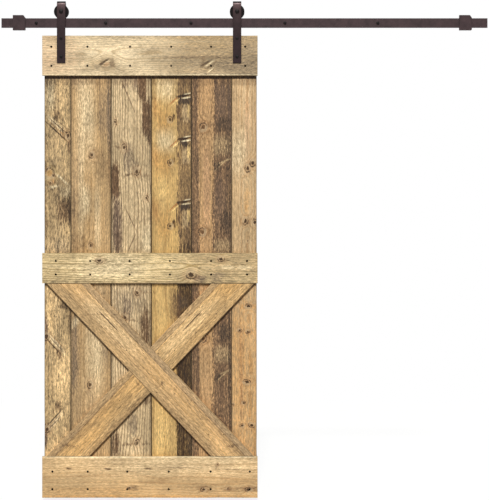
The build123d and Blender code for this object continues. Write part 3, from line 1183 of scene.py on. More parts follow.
class GeometryTrees:
    """The geometry node trees of the pieces that repeat."""

    STATIONS = 5
    SHANK_SIDES = 28
    TUBE_SIDES = 48
    THREAD_STEPS = 20

    def __init__(self) -> None:
        """Build every tree."""
        self.turned = self._turned()
        self.fastener = self._fastener()
        self.nut = self._nut()
        self.tube = self._tube()
        self.nail = self._nail()

    def _turned(self) -> NodeTree:
        """Sweep a ring of sides along Z, through stations of height and radius.

        Returns:
            The group's tree.
        """
        count = self.STATIONS
        sockets: dict[str, object] = {"Sides": int}
        for number in range(count):
            sockets |= {f"Height {number}": float, f"Radius {number}": float}
        draft = GroupDraft("turned_solid", sockets, {"Mesh": Mesh}, "GeometryNodeTree")
        graph, given = draft.graph, draft.given
        line = graph.wire("GeometryNodeMeshLine", {"Count": count})
        index = graph.wire("GeometryNodeInputIndex", {})
        picks = []
        for label in ("Height", "Radius"):
            switch = graph.add("GeometryNodeIndexSwitch", data_type="FLOAT")
            for _ in range(count - 2):
                switch.index_switch_items.new()
            graph.feed(switch.inputs[0], index)
            for number in range(count):
                graph.feed(switch.inputs[number + 1], given[f"{label} {number}"])
            picks.append(switch.outputs[0])
        place = graph.wire("ShaderNodeCombineXYZ", {2: picks[0]})
        stations = graph.wire("GeometryNodeSetPosition", {"Geometry": line, "Position": place})
        path = graph.wire("GeometryNodeMeshToCurve", {"Mesh": stations})
        ring = graph.wire("GeometryNodeCurvePrimitiveCircle", {"Resolution": given["Sides"], "Radius": 1.0})
        feeds = {"Curve": path, "Profile Curve": ring, "Scale": picks[1], "Fill Caps": True}
        return draft.put(Mesh=graph.wire("GeometryNodeCurveToMesh", feeds))

    @staticmethod
    def _draft(name: str, sizes: str) -> GroupDraft:
        """Start a tree that sets one shape on each of its places.

        Args:
            name: The tree's name.
            sizes: The names of its sizes, listed with commas.

        Returns:
            The empty tree.
        """
        sockets = {"Places": Mesh, **floats(sizes)}
        sockets |= {"Turn": float, "Seed": int, "Finish": Material}
        return GroupDraft(name, sockets, {"Mesh": Mesh}, "GeometryNodeTree")

    @staticmethod
    def _set_out(draft: GroupDraft, shape: Socket) -> NodeTree:
        """Set a shape on each place, facing the front and turned a little by chance.

        Args:
            draft: The tree under construction.
            shape: The shape, standing on Z.

        Returns:
            The finished tree.
        """
        graph, given = draft.graph, draft.given
        stand = graph.wire(
            "GeometryNodeInstanceOnPoints",
            {"Points": given["Places"], "Instance": shape, "Rotation": (math.pi / 2, 0.0, 0.0)},
        )
        limits = {2: graph.times(given["Turn"], -1.0), 3: given["Turn"], "Seed": given["Seed"]}
        chance = graph.wire("FunctionNodeRandomValue", limits, 1, data_type="FLOAT")
        spin = graph.wire("ShaderNodeCombineXYZ", {2: chance})
        turn = graph.wire("FunctionNodeEulerToRotation", {0: spin})
        feeds = {"Instances": stand, "Rotation": turn, "Local Space": True}
        turned = graph.wire("GeometryNodeRotateInstances", feeds)
        solid = graph.wire("GeometryNodeRealizeInstances", {0: turned})
        feeds = {"Geometry": solid, "Material": given["Finish"]}
        return draft.put(Mesh=graph.wire("GeometryNodeSetMaterial", feeds))

    def _stack(self, graph: Graph, sides: int, *stations: tuple[Feed, Feed]) -> Socket:
        """Place the turned group.

        Args:
            graph: The tree's graph.
            sides: How many sides the solid has.
            *stations: Its heights and radii, from one end to the other.

        Returns:
            The solid's mesh.
        """
        feeds: dict[str, Feed] = {"Sides": sides}
        for number, (height, radius) in enumerate(stations):
            feeds |= {f"Height {number}": height, f"Radius {number}": radius}
        return graph.group(self.turned, **feeds)["Mesh"]

    def _hexagon(self, graph: Graph, flats: Feed, high: Feed, bevel: Feed) -> Socket:
        """Make a hexagon with its upper corners bevelled.

        Args:
            graph: The tree's graph.
            flats: Distance across the flats.
            high: Height of its top over its seat.
            bevel: Size of the bevel.

        Returns:
            The hexagon's mesh.
        """
        corner = graph.math("DIVIDE", flats, math.sqrt(3))
        shoulder = graph.minus(high, graph.times(bevel, 0.7))
        crown = graph.minus(high, graph.times(bevel, 0.2))
        return self._stack(
            graph,
            6,
            (0.0, corner),
            (graph.times(graph.plus(0.0, shoulder), 0.5), corner),
            (shoulder, corner),
            (crown, graph.minus(corner, graph.times(bevel, 0.9))),
            (high, graph.minus(corner, graph.times(bevel, 1.9))),
        )

    def _fastener(self) -> NodeTree:
        """Make hex-head screws or bolts with a plain length, a thread and a point.

        Returns:
            The tree.
        """
        draft = self._draft(
            "hex_fastener",
            "Head Flats, Head Height, Head Bevel, Shank Radius, Shank Length, Plain Length, "
            "Thread Depth, Thread Pitch, Point Length, Point Radius",
        )
        graph, given = draft.graph, draft.given
        wide, depth = given["Shank Radius"], given["Thread Depth"]
        head = self._hexagon(graph, given["Head Flats"], given["Head Height"], given["Head Bevel"])
        core = graph.minus(wide, depth)
        plain, tip = (graph.times(given[name], -1.0) for name in ("Plain Length", "Shank Length"))
        neck = graph.minus(plain, depth)
        foot = graph.plus(tip, given["Point Length"])
        stations = ((0.0, wide), (plain, wide), (neck, core), (foot, core), (tip, given["Point Radius"]))
        shank = self._stack(graph, self.SHANK_SIDES, *stations)
        threaded = graph.minus(neck, foot)
        rounds = graph.math("DIVIDE", threaded, given["Thread Pitch"])
        feeds = {"Start Radius": core, "End Radius": core, "Height": threaded}
        feeds |= {"Resolution": self.THREAD_STEPS, "Rotations": rounds}
        helix = graph.wire("GeometryNodeCurveSpiral", feeds)
        share = graph.wire("GeometryNodeSplineParameter", {}, "Factor")
        fade = graph.times(graph.math("PINGPONG", share, 0.5), rounds)
        ridge = graph.wire("GeometryNodeCurvePrimitiveCircle", {"Resolution": 4, "Radius": depth})
        feeds = {"Curve": helix, "Profile Curve": ridge, "Fill Caps": True}
        feeds |= {"Scale": graph.math("MINIMUM", fade, 1.0)}
        thread = graph.wire("GeometryNodeCurveToMesh", feeds)
        lift = graph.wire("ShaderNodeCombineXYZ", {2: foot})
        thread = graph.wire("GeometryNodeTransform", {"Geometry": thread, "Translation": lift})
        join = graph.add("GeometryNodeJoinGeometry")
        for shape in (head, shank, thread):
            graph.feed(join.inputs[0], shape)
        return self._set_out(draft, join.outputs[0])

    def _nut(self) -> NodeTree:
        """Make hex nuts that lie on their places and reach to the back.

        Returns:
            The tree.
        """
        draft = self._draft("hex_nut", "Flats, Height, Bevel")
        graph, given = draft.graph, draft.given
        solid = self._hexagon(graph, given["Flats"], given["Height"], given["Bevel"])
        feeds = {"Geometry": solid, "Rotation": (math.pi, 0.0, 0.0)}
        return self._set_out(draft, graph.wire("GeometryNodeTransform", feeds))

    def _tube(self) -> NodeTree:
        """Make short tubes with rounded ends that reach from their places to the front.

        Returns:
            The tree.
        """
        draft = self._draft("spacer_tube", "Outer Radius, Inner Radius, Length, Rounding")
        graph, given = draft.graph, draft.given
        outer, inner, length = (given[name] for name in ("Outer Radius", "Inner Radius", "Length"))
        mean = graph.times(graph.plus(outer, inner), 0.5)
        feeds = {"Resolution": self.TUBE_SIDES, "Radius": mean}
        path = graph.wire("GeometryNodeCurvePrimitiveCircle", feeds)
        path = graph.wire("GeometryNodeSetCurveNormal", {"Curve": path})
        feeds = {"Width": graph.minus(outer, inner), "Height": length}
        wide = graph.wire("GeometryNodeCurvePrimitiveQuadrilateral", feeds)
        feeds = {"Curve": wide, "Count": 3, "Radius": given["Rounding"]}
        soft = graph.wire("GeometryNodeFilletCurve", feeds, mode="POLY")
        ring = graph.wire("GeometryNodeCurveToMesh", {"Curve": path, "Profile Curve": soft})
        lift = graph.wire("ShaderNodeCombineXYZ", {2: graph.times(length, 0.5)})
        feeds = {"Geometry": ring, "Translation": lift}
        return self._set_out(draft, graph.wire("GeometryNodeTransform", feeds))

    def _nail(self) -> NodeTree:
        """Make nails with a faceted head that lies on their places.

        Returns:
            The tree.
        """
        draft = self._draft("faceted_nail", "Head Radius, Head Height, Shank Radius, Shank Length")
        graph, given = draft.graph, draft.given
        wide, tall, thin = (given[name] for name in ("Head Radius", "Head Height", "Shank Radius"))
        solid = self._stack(
            graph,
            4,
            (graph.times(given["Shank Length"], -1.0), graph.times(thin, 0.6)),
            (graph.times(tall, -0.2), thin),
            (0.0, wide),
            (graph.times(tall, 0.6), graph.times(wide, 0.82)),
            (tall, graph.times(wide, 0.4)),
        )
        return self._set_out(draft, solid)


def grow(
    name: str,
    tree: NodeTree,
    places: Iterable[Vector],
    material: Material,
    sizes: dict[str, float],
) -> Object:
    """Run a tree on its places and keep the result as a plain mesh.

    Args:
        name: The piece's name.
        tree: The geometry node tree.
        places: Where its shapes stand.
        material: Their material.
        sizes: The tree's named inputs.

    Returns:
        The finished piece.
    """
    spots = bpy.data.meshes.new(f"{name}_places")
    spots.from_pydata([tuple(place) for place in places], [], [])
    carrier = bpy.data.objects.new(f"{name}_carrier", spots)
    bpy.context.scene.collection.objects.link(carrier)
    modifier = carrier.modifiers.new("shape", "NODES")
    modifier.node_group = tree
    sockets = {
        item.name: item.identifier
        for item in tree.interface.items_tree
        if item.item_type == "SOCKET" and item.in_out == "INPUT"
    }
    for label, value in {**sizes, "Finish": material}.items():
        modifier[sockets[label]] = value
    depsgraph = bpy.context.evaluated_depsgraph_get()
    mesh = bpy.data.meshes.new_from_object(carrier.evaluated_get(depsgraph))
    bpy.data.objects.remove(carrier)
    return new_piece(name, mesh)


def clusters(points: Iterable[Vector], reach: float) -> list[Vector]:
    """Gather points that lie close together.

    Args:
        points: The points.
        reach: How close a point lies to the first of its cluster.

    Returns:
        The middle of each cluster's box.
    """
    groups: list[list[Vector]] = []
    for point in points:
        for group in groups:
            if (group[0] - point).length < reach:
                group.append(point.copy())
                break
        else:
            groups.append([point.copy()])
    return [
        Vector([(min(values) + max(values)) / 2 for values in zip(*(tuple(spot) for spot in group))])
        for group in groups
    ]


def seats(node: Object, front: float, seat: float, reach: float) -> list[Vector]:
    """Find where the fasteners of a CAD node sit.

    Args:
        node: The node's object.
        front: The depth that only their heads stand in front of.
        seat: The depth that the heads sit at.
        reach: How wide one head is at most.

    Returns:
        One place for each fastener.
    """
    heads = (vertex.co for vertex in node.data.vertices if vertex.co.y < front)
    return [Vector((place.x, seat, place.z)) for place in clusters(heads, reach)]


def named(**sizes: float) -> dict[str, float]:
    """Spell the names of sizes as the trees' inputs are spelled."""
    return {name.replace("_", " ").title(): value for name, value in sizes.items()}


@dataclass(frozen=True)
class Fastener:
    """The sizes of a hex-head screw or bolt that its CAD node doesn't show, in metres."""

    head_bevel: float
    shank_radius: float
    thread_depth: float
    thread_pitch: float
    point_length: float
    point_radius: float
    seed: int
    turn: float = 0.5


@dataclass(frozen=True)
class Nail:
    """The sizes of a nail with a faceted head, in metres."""

    head_radius: float
    head_height: float
    shank_radius: float
    turn: float
    seed: int


# The tints under their bare names, for the lists of marks.
CREAM, GOLD, HONEY, RUST, ROSE, TAN, ASH, SLATE, MAUVE, BARK, UMBER, SOOT, PEAT, KNOT = Tint

# Where the middle ledge's lower edge lies on a board, as a share of its length.
MIDDLE_FOOT = 0.5375

# Painted shade on every board: a soft haze and a dark band below the top ledge, and a dark line below the
# middle ledge, where their shadows fall.
LEDGE_PAINTED_SHADE = (
    Stain(0.5, 0.0955, 0.2, 0.0233, UMBER, 0.36, 0.25, fray=0.3),
    Stain(0.5, 0.0892, 0.2, 0.0075, KNOT, 1.0, 0.35, fray=0.12),
    Stain(0.5, MIDDLE_FOOT, 0.2, 0.0035, KNOT, 0.85, 0.4, fray=0.12),
)

FEATHERED_BOARD = PineFinish(
    early="cdae7e",
    late="86683f",
    seed=1.3,
    pith_share=0.2,
    contrast=0.42,
    mottle=0.6,
    weathering=0.45,
    grime=0.7,
    patch=1.5,
    stains=(
        Stain(0.5, 0.4, 0.03, 0.5, ASH, 0.15, 0.8),
        Stain(0.02, 0.35, 0.007, 0.2, UMBER, 0.4),
        Stain(0.2, 0.125, 0.02, 0.06, CREAM, 0.4, 0.8),
        Stain(0.5, 0.13, 0.018, 0.05, UMBER, 0.3, 0.8),
        Stain(0.84, 0.337, 0.022, 0.022, CREAM, 0.45, 0.8),
        Stain(0.6, 0.46, 0.06, 0.045, ASH, 0.5, 0.8),
        Stain(0.51, 0.17, 0.016, 0.024, UMBER, 0.75, 0.6),
        Stain(0.4, 0.19, 0.034, 0.014, CREAM, 0.4, lean=0.92, fray=0.4),
        Stain(0.76, 0.213, 0.022, 0.022, UMBER, 0.5, 0.7),
        Stain(0.48, 0.208, 0.05, 0.0042, PEAT, 0.95, lean=0.92, fray=0.2),
        Stain(0.52, 0.2025, 0.042, 0.0022, RUST, 0.7, lean=0.95, fray=0.2),
        Stain(0.55, 0.196, 0.04, 0.0034, UMBER, 0.95, lean=0.88, fray=0.2),
        Stain(0.6, 0.189, 0.034, 0.0022, UMBER, 0.7, lean=0.8, fray=0.2),
        Stain(0.64, 0.181, 0.03, 0.002, UMBER, 0.5, lean=0.7, fray=0.2),
        Stain(0.95, 0.236, 0.01, 0.036, UMBER, 0.95),
        Stain(0.6, 0.3436, 0.05, 0.06, UMBER, 0.2, 0.8),
        Stain(0.19, 0.2835, 0.023, 0.007, UMBER, 0.75, fray=0.5),
        Stain(0.19, 0.298, 0.017, 0.018, RUST, 0.7, fray=0.4),
        Stain(0.3, 0.314, 0.012, 0.012, RUST, 0.5, fray=0.4),
        Stain(0.67, 0.3105, 0.032, 0.006, CREAM, 0.6, lean=0.88, fray=0.8),
        Stain(0.35, 0.3256, 0.022, 0.006, CREAM, 0.6, lean=-0.1, fray=0.8),
        Stain(0.12, 0.288, 0.014, 0.004, CREAM, 0.6, lean=-0.6, fray=0.6),
        Stain(0.02, 0.306, 0.006, 0.008, KNOT, 0.8, fray=0.3),
        Stain(0.76, 0.38, 0.033, 0.05, UMBER, 0.85, 0.6),
        Stain(0.97, 0.38, 0.008, 0.06, PEAT, 0.75),
        Stain(0.1, 0.405, 0.01, 0.012, UMBER, 0.5),
        Stain(0.4, 0.664, 0.04, 0.014, CREAM, 0.4, lean=1.1, fray=0.4),
        Stain(0.33, 0.672, 0.04, 0.0042, PEAT, 0.95, lean=1.1, fray=0.2),
        Stain(0.38, 0.6635, 0.036, 0.003, UMBER, 0.85, lean=1.05, fray=0.2),
        Stain(0.44, 0.659, 0.034, 0.0022, RUST, 0.6, lean=1.0, fray=0.2),
        Stain(0.56, 0.688, 0.014, 0.026, UMBER, 0.85, lean=0.6),
        Stain(0.53, 0.803, 0.017, 0.022, UMBER, 0.75),
        Stain(0.32, 0.84, 0.04, 0.014, CREAM, 0.4, lean=-1.1, fray=0.4),
        Stain(0.36, 0.829, 0.04, 0.0042, PEAT, 0.9, lean=-1.1, fray=0.2),
        Stain(0.34, 0.836, 0.036, 0.0024, RUST, 0.6, lean=-1.05, fray=0.2),
        Stain(0.3, 0.844, 0.034, 0.0032, UMBER, 0.9, lean=-1.0, fray=0.2),
        Stain(0.06, 0.628, 0.009, 0.04, MAUVE, 0.85),
        Stain(0.06, 0.872, 0.009, 0.04, MAUVE, 0.85),
        Stain(0.75, 0.585, 0.02, 0.014, UMBER, 0.6),
        *LEDGE_PAINTED_SHADE,
        Stain(0.96, 0.62, 0.008, 0.06, UMBER, 0.6),
    ),
    knots=(
        Knot(0.9, 0.216, 0.012, fill=1.0),
        Knot(0.2, 0.298, 0.022, 1.1, PEAT, GOLD, 0.9, 0.0),
        Knot(0.1, 0.289, 0.008, 1.0, fill=1.0),
        Knot(0.34, 0.303, 0.008, 1.0, fill=1.0),
        Knot(0.22, 0.318, 0.007, 1.0, fill=1.0),
        Knot(0.07, 0.652, 0.015, 1.2, PEAT, RUST, fill=1.0),
        Knot(0.1, 0.853, 0.014, 1.2, PEAT, RUST, fill=1.0),
    ),
)

GREY_BOARD = PineFinish(
    early="bf9d6f",
    late="8e6c3c",
    seed=4.1,
    pith_share=0.45,
    pith_depth=0.07,
    contrast=0.42,
    mottle=0.34,
    grime=0.85,
    stains=(
        Stain(0.37, 0.17, 0.035, 0.18, CREAM, 0.45, 0.8, fray=0.4),
        Stain(0.26, 0.33, 0.013, 0.18, CREAM, 0.3, 0.8, fray=0.4),
        Stain(0.66, 0.4, 0.012, 0.13, CREAM, 0.3, 0.8, fray=0.4),
        Stain(0.85, 0.285, 0.03, 0.05, UMBER, 0.35, 0.8),
        Stain(0.1, 0.32, 0.024, 0.16, ASH, 0.4, 0.8),
        Stain(0.14, 0.1, 0.026, 0.03, ASH, 0.4, 0.8),
        Stain(0.37, 0.36, 0.018, 0.06, CREAM, 0.45, 0.8),
        Stain(0.84, 0.165, 0.026, 0.1, SLATE, 0.65),
        Stain(0.95, 0.175, 0.013, 0.15, SLATE, 0.75),
        Stain(0.98, 0.28, 0.01, 0.12, UMBER, 0.55),
        Stain(0.64, 0.256, 0.03, 0.03, UMBER, 0.35),
        Stain(0.18, 0.455, 0.03, 0.05, UMBER, 0.45),
        Stain(0.06, 0.4, 0.01, 0.14, UMBER, 0.35),
        Stain(0.5, 0.56, 0.09, 0.05, ASH, 0.25),
        Stain(0.07, 0.68, 0.022, 0.16, SLATE, 0.8),
        Stain(0.16, 0.615, 0.024, 0.02, CREAM, 0.35, 0.7, lean=-1.0, fray=0.4),
        Stain(0.6, 0.66, 0.035, 0.22, CREAM, 0.45, 0.8, fray=0.4),
        Stain(0.85, 0.66, 0.013, 0.1, ASH, 0.5),
        Stain(0.3, 0.8, 0.06, 0.1, ASH, 0.2),
        *LEDGE_PAINTED_SHADE,
    ),
    knots=(
        Knot(0.52, 0.259, 0.012),
        Knot(0.49, 0.454, 0.01),
        Knot(0.48, 0.757, 0.013),
    ),
)

RINGED_BOARD = PineFinish(
    early="d4ba90",
    late="7c6140",
    seed=7.7,
    pith_share=0.55,
    pith_depth=0.014,
    ring=0.0115,
    line=0.58,
    wander=0.022,
    contrast=0.8,
    mottle=0.36,
    grime=1.0,
    stains=(
        Stain(0.36, 0.1, 0.016, 0.03, MAUVE, 0.55),
        Stain(0.62, 0.1, 0.022, 0.034, MAUVE, 0.75),
        Stain(0.9, 0.445, 0.024, 0.06, CREAM, 0.4, 0.8),
        Stain(0.77, 0.108, 0.021, 0.08, UMBER, 1.3, 0.35, lean=0.4, fray=0.6),
        Stain(0.87, 0.175, 0.019, 0.088, UMBER, 1.3, 0.35, fray=0.6),
        Stain(0.95, 0.22, 0.009, 0.03, UMBER, 0.8),
        Stain(0.18, 0.24, 0.026, 0.005, UMBER, 0.55, fray=0.8),
        Stain(0.44, 0.3, 0.02, 0.006, UMBER, 0.75, lean=-0.15, fray=0.7),
        Stain(0.86, 0.301, 0.026, 0.005, UMBER, 0.4, fray=0.8),
        Stain(0.42, 0.265, 0.02, 0.06, SLATE, 0.7),
        Stain(0.62, 0.283, 0.016, 0.03, SLATE, 0.5),
        Stain(0.1, 0.315, 0.022, 0.088, UMBER, 1.3, 0.35, fray=0.6),
        Stain(0.15, 0.41, 0.022, 0.13, MAUVE, 0.95, 0.4, fray=0.6),
        Stain(0.43, 0.132, 0.0325, 0.0065, UMBER, 0.75, lean=2.34, fray=0.3),
        Stain(0.49, 0.3975, 0.025, 0.006, UMBER, 0.75, lean=2.04, fray=0.3),
        Stain(0.52, 0.447, 0.02, 0.006, UMBER, 0.75, lean=-2.2, fray=0.3),
        Stain(0.2, 0.45, 0.014, 0.06, BARK, 0.5, fray=0.6),
        Stain(0.45, 0.575, 0.075, 0.06, ASH, 0.45),
        Stain(0.4, 0.59, 0.018, 0.055, SLATE, 0.8),
        Stain(0.55, 0.617, 0.024, 0.005, UMBER, 0.65, fray=0.7),
        Stain(0.86, 0.556, 0.026, 0.005, UMBER, 0.45, fray=0.8),
        Stain(0.87, 0.635, 0.022, 0.09, UMBER, 1.2, fray=0.7),
        Stain(0.89, 0.784, 0.02, 0.03, UMBER, 0.75),
        Stain(0.55, 0.845, 0.022, 0.05, SLATE, 0.6),
        Stain(0.42, 0.886, 0.03, 0.006, UMBER, 0.65, fray=0.7),
        Stain(0.86, 0.884, 0.024, 0.005, UMBER, 0.5, fray=0.8),
        Stain(0.11, 0.885, 0.02, 0.06, UMBER, 0.9),
        *LEDGE_PAINTED_SHADE,
    ),
    knots=(
        Knot(0.1, 0.186, 0.009),
        Knot(0.32, 0.241, 0.012),
        Knot(0.64, 0.295, 0.012),
        Knot(0.88, 0.351, 0.009),
        Knot(0.65, 0.557, 0.011),
        Knot(0.35, 0.611, 0.011),
        Knot(0.65, 0.882, 0.012),
    ),
)

GOLDEN_BOARD = PineFinish(
    early="c7a468",
    late="9e733a",
    seed=10.2,
    pith_share=0.25,
    pith_depth=0.08,
    contrast=0.36,
    mottle=0.3,
    weathering=0.15,
    grime=1.0,
    stains=(
        Stain(0.36, 0.112, 0.04, 0.05, CREAM, 0.5, 0.8, fray=0.4),
        Stain(0.34, 0.226, 0.036, 0.045, CREAM, 0.5, 0.8, fray=0.4),
        *(Stain(0.08, row, 0.022, 0.045, RUST, 0.36, 0.8) for row in (0.152, 0.262, 0.375)),
        Stain(0.28, 0.33, 0.026, 0.05, GOLD, 0.4, 0.8, fray=0.4),
        Stain(0.3, 0.183, 0.03, 0.055, HONEY, 0.4, 0.8, fray=0.5),
        Stain(0.3, 0.278, 0.03, 0.055, HONEY, 0.4, 0.8, fray=0.5),
        Stain(0.3, 0.412, 0.03, 0.06, HONEY, 0.4, 0.8, fray=0.5),
        Stain(0.3, 0.86, 0.03, 0.08, GOLD, 0.4, 0.8, fray=0.4),
        Stain(0.83, 0.25, 0.035, 0.55, BARK, 0.8, 0.1),
        Stain(0.84, 0.75, 0.04, 0.56, PEAT, 0.9, 0.2, fray=0.5),
        Stain(0.84, 0.75, 0.04, 0.56, KNOT, 0.75, 0.2),
        *(
            mark
            for row in (0.129, 0.222, 0.359)
            for mark in (
                Stain(0.56, row + 0.011, 0.02, 0.004, RUST, 0.9, lean=-0.9, fray=0.3),
                Stain(0.59, row + 0.015, 0.016, 0.003, GOLD, 0.9, lean=-0.9, fray=0.3),
                Stain(0.87, row + 0.036, 0.018, 0.04, TAN, 1.0, 0.4),
                Stain(0.93, row + 0.03, 0.005, 0.03, GOLD, 0.7),
                Stain(0.66, row + 0.036, 0.007, 0.03, UMBER, 0.8),
                Stain(0.83, row + 0.011, 0.026, 0.013, SOOT, 1.2),
                Stain(0.88, row + 0.0046, 0.02, 0.0036, CREAM, 0.9, 0.4, lean=-0.14, fray=0.3),
                Stain(0.78, row + 0.0005, 0.026, 0.0062, KNOT, 1.0, 0.25, lean=-0.16, fray=0.25),
                Stain(0.92, row - 0.0014, 0.014, 0.0022, KNOT, 0.9, 0.3, lean=-0.2, fray=0.25),
                Stain(0.9, row - 0.0042, 0.016, 0.003, CREAM, 0.75, 0.4, lean=-0.2, fray=0.3),
            )
        ),
        *(
            mark
            for row in (0.181, 0.275, 0.413)
            for mark in (
                Stain(0.56, row - 0.006, 0.007, 0.014, PEAT, 1.0),
                Stain(0.68, row - 0.014, 0.007, 0.022, UMBER, 0.7),
            )
        ),
        Stain(0.62, 0.585, 0.024, 0.07, UMBER, 0.7),
        Stain(0.82, 0.58, 0.02, 0.03, SOOT, 0.8),
        Stain(0.8, 0.8, 0.02, 0.1, SOOT, 0.7),
        Stain(0.95, 0.86, 0.01, 0.1, SOOT, 0.7),
        *LEDGE_PAINTED_SHADE,
    ),
    knots=tuple(Knot(0.47, row, 0.012, 1.2, PEAT, HONEY) for row in (0.181, 0.275, 0.413)),
)

DARK_BOARD = PineFinish(
    early="b99367",
    late="8c6a40",
    seed=13.9,
    pith_share=0.38,
    contrast=0.5,
    mottle=0.44,
    weathering=0.2,
    grime=1.0,
    stains=(
        Stain(0.38, 0.33, 0.013, 0.16, ROSE, 0.3),
        Stain(0.08, 0.5, 0.02, 1.15, BARK, 0.95, 0.22),
        Stain(0.77, 0.5, 0.044, 1.15, BARK, 1.0, 0.12),
        Stain(0.76, 0.14, 0.03, 0.09, MAUVE, 0.6),
        Stain(0.95, 0.3, 0.013, 0.46, SOOT, 0.55, 0.8),
        *(Stain(0.33, row, 0.022, 0.028, UMBER, 0.5, 0.8) for row in (0.197, 0.424)),
        Stain(0.95, 0.15, 0.01, 0.1, MAUVE, 0.7),
        Stain(0.8, 0.19, 0.028, 0.03, SOOT, 0.85),
        Stain(0.74, 0.236, 0.036, 0.042, TAN, 0.6),
        Stain(0.8, 0.272, 0.032, 0.0035, TAN, 1.0, lean=-0.4, fray=0.4),
        Stain(0.74, 0.279, 0.03, 0.0035, TAN, 1.0, lean=-0.9, fray=0.4),
        Stain(0.63, 0.283, 0.014, 0.02, SOOT, 0.8),
        Stain(0.72, 0.36, 0.03, 0.1, MAUVE, 0.5),
        Stain(0.86, 0.4, 0.022, 0.05, SOOT, 0.9),
        Stain(0.78, 0.455, 0.036, 0.028, TAN, 0.6),
        Stain(0.82, 0.645, 0.028, 0.04, SOOT, 0.9),
        Stain(0.78, 0.69, 0.034, 0.035, TAN, 0.6),
        Stain(0.85, 0.728, 0.028, 0.0035, TAN, 1.0, lean=-0.4, fray=0.4),
        Stain(0.78, 0.736, 0.028, 0.0035, TAN, 1.0, lean=-0.9, fray=0.4),
        Stain(0.63, 0.742, 0.014, 0.022, SOOT, 0.8),
        Stain(0.95, 0.7, 0.008, 0.2, SOOT, 0.7),
        *LEDGE_PAINTED_SHADE,
    ),
    knots=(
        Knot(0.29, 0.197, 0.017, 1.1, PEAT, RUST, 1.0, 0.7),
        Knot(0.26, 0.424, 0.0165, 1.1, PEAT, RUST, 1.0, 0.7),
        Knot(0.29, 0.656, 0.0155, 1.1, PEAT, RUST, 1.0, 0.7),
    ),
)

KNOTTY_BOARD = PineFinish(
    early="c7a97f",
    late="ad8455",
    seed=17.4,
    pith_share=0.66,
    pith_depth=0.06,
    contrast=0.5,
    mottle=0.3,
    weathering=0.15,
    grime=0.5,
    stains=(
        Stain(0.62, 0.2, 0.01, 0.12, ROSE, 0.3),
        Stain(0.25, 0.25, 0.03, 0.08, CREAM, 0.4, 0.8),
        Stain(0.8, 0.3, 0.022, 0.06, TAN, 0.45, 0.8),
        Stain(0.75, 0.42, 0.03, 0.05, TAN, 0.5, 0.8),
        Stain(0.6, 0.36, 0.013, 0.07, HONEY, 0.35),
        Stain(0.5, 0.78, 0.075, 0.42, HONEY, 0.42, 0.4),
        Stain(0.38, 0.72, 0.008, 0.2, RUST, 0.35),
        *LEDGE_PAINTED_SHADE,
    ),
    knots=(
        Knot(0.64, 0.286, 0.013, 1.4, fill=1.0),
        Knot(0.84, 0.275, 0.013, 1.4, fill=1.0),
        Knot(0.55, 0.402, 0.013, 1.3, fill=1.0),
        Knot(0.93, 0.405, 0.013, 1.2, fill=1.0),
        Knot(0.63, 0.444, 0.0035, 1.0),
        Knot(0.67, 0.586, 0.015, 0.7, fill=1.0),
        Knot(0.32, 0.638, 0.0105, 0.9, fill=1.0),
        Knot(0.64, 0.641, 0.0105, 0.9, fill=1.0),
        Knot(0.61, 0.75, 0.0175, 0.65, fill=1.0),
        Knot(0.48, 0.795, 0.009, 0.9, fill=1.0),
        Knot(0.06, 0.799, 0.006, 1.0),
        Knot(0.8, 0.844, 0.0145, 0.8, fill=1.0),
        Knot(0.41, 0.845, 0.0105, 0.9, fill=1.0),
    ),
)

BOARD_FINISHES = (
    FEATHERED_BOARD,
    GREY_BOARD,
    RINGED_BOARD,
    GOLDEN_BOARD,
    DARK_BOARD,
    KNOTTY_BOARD,
)

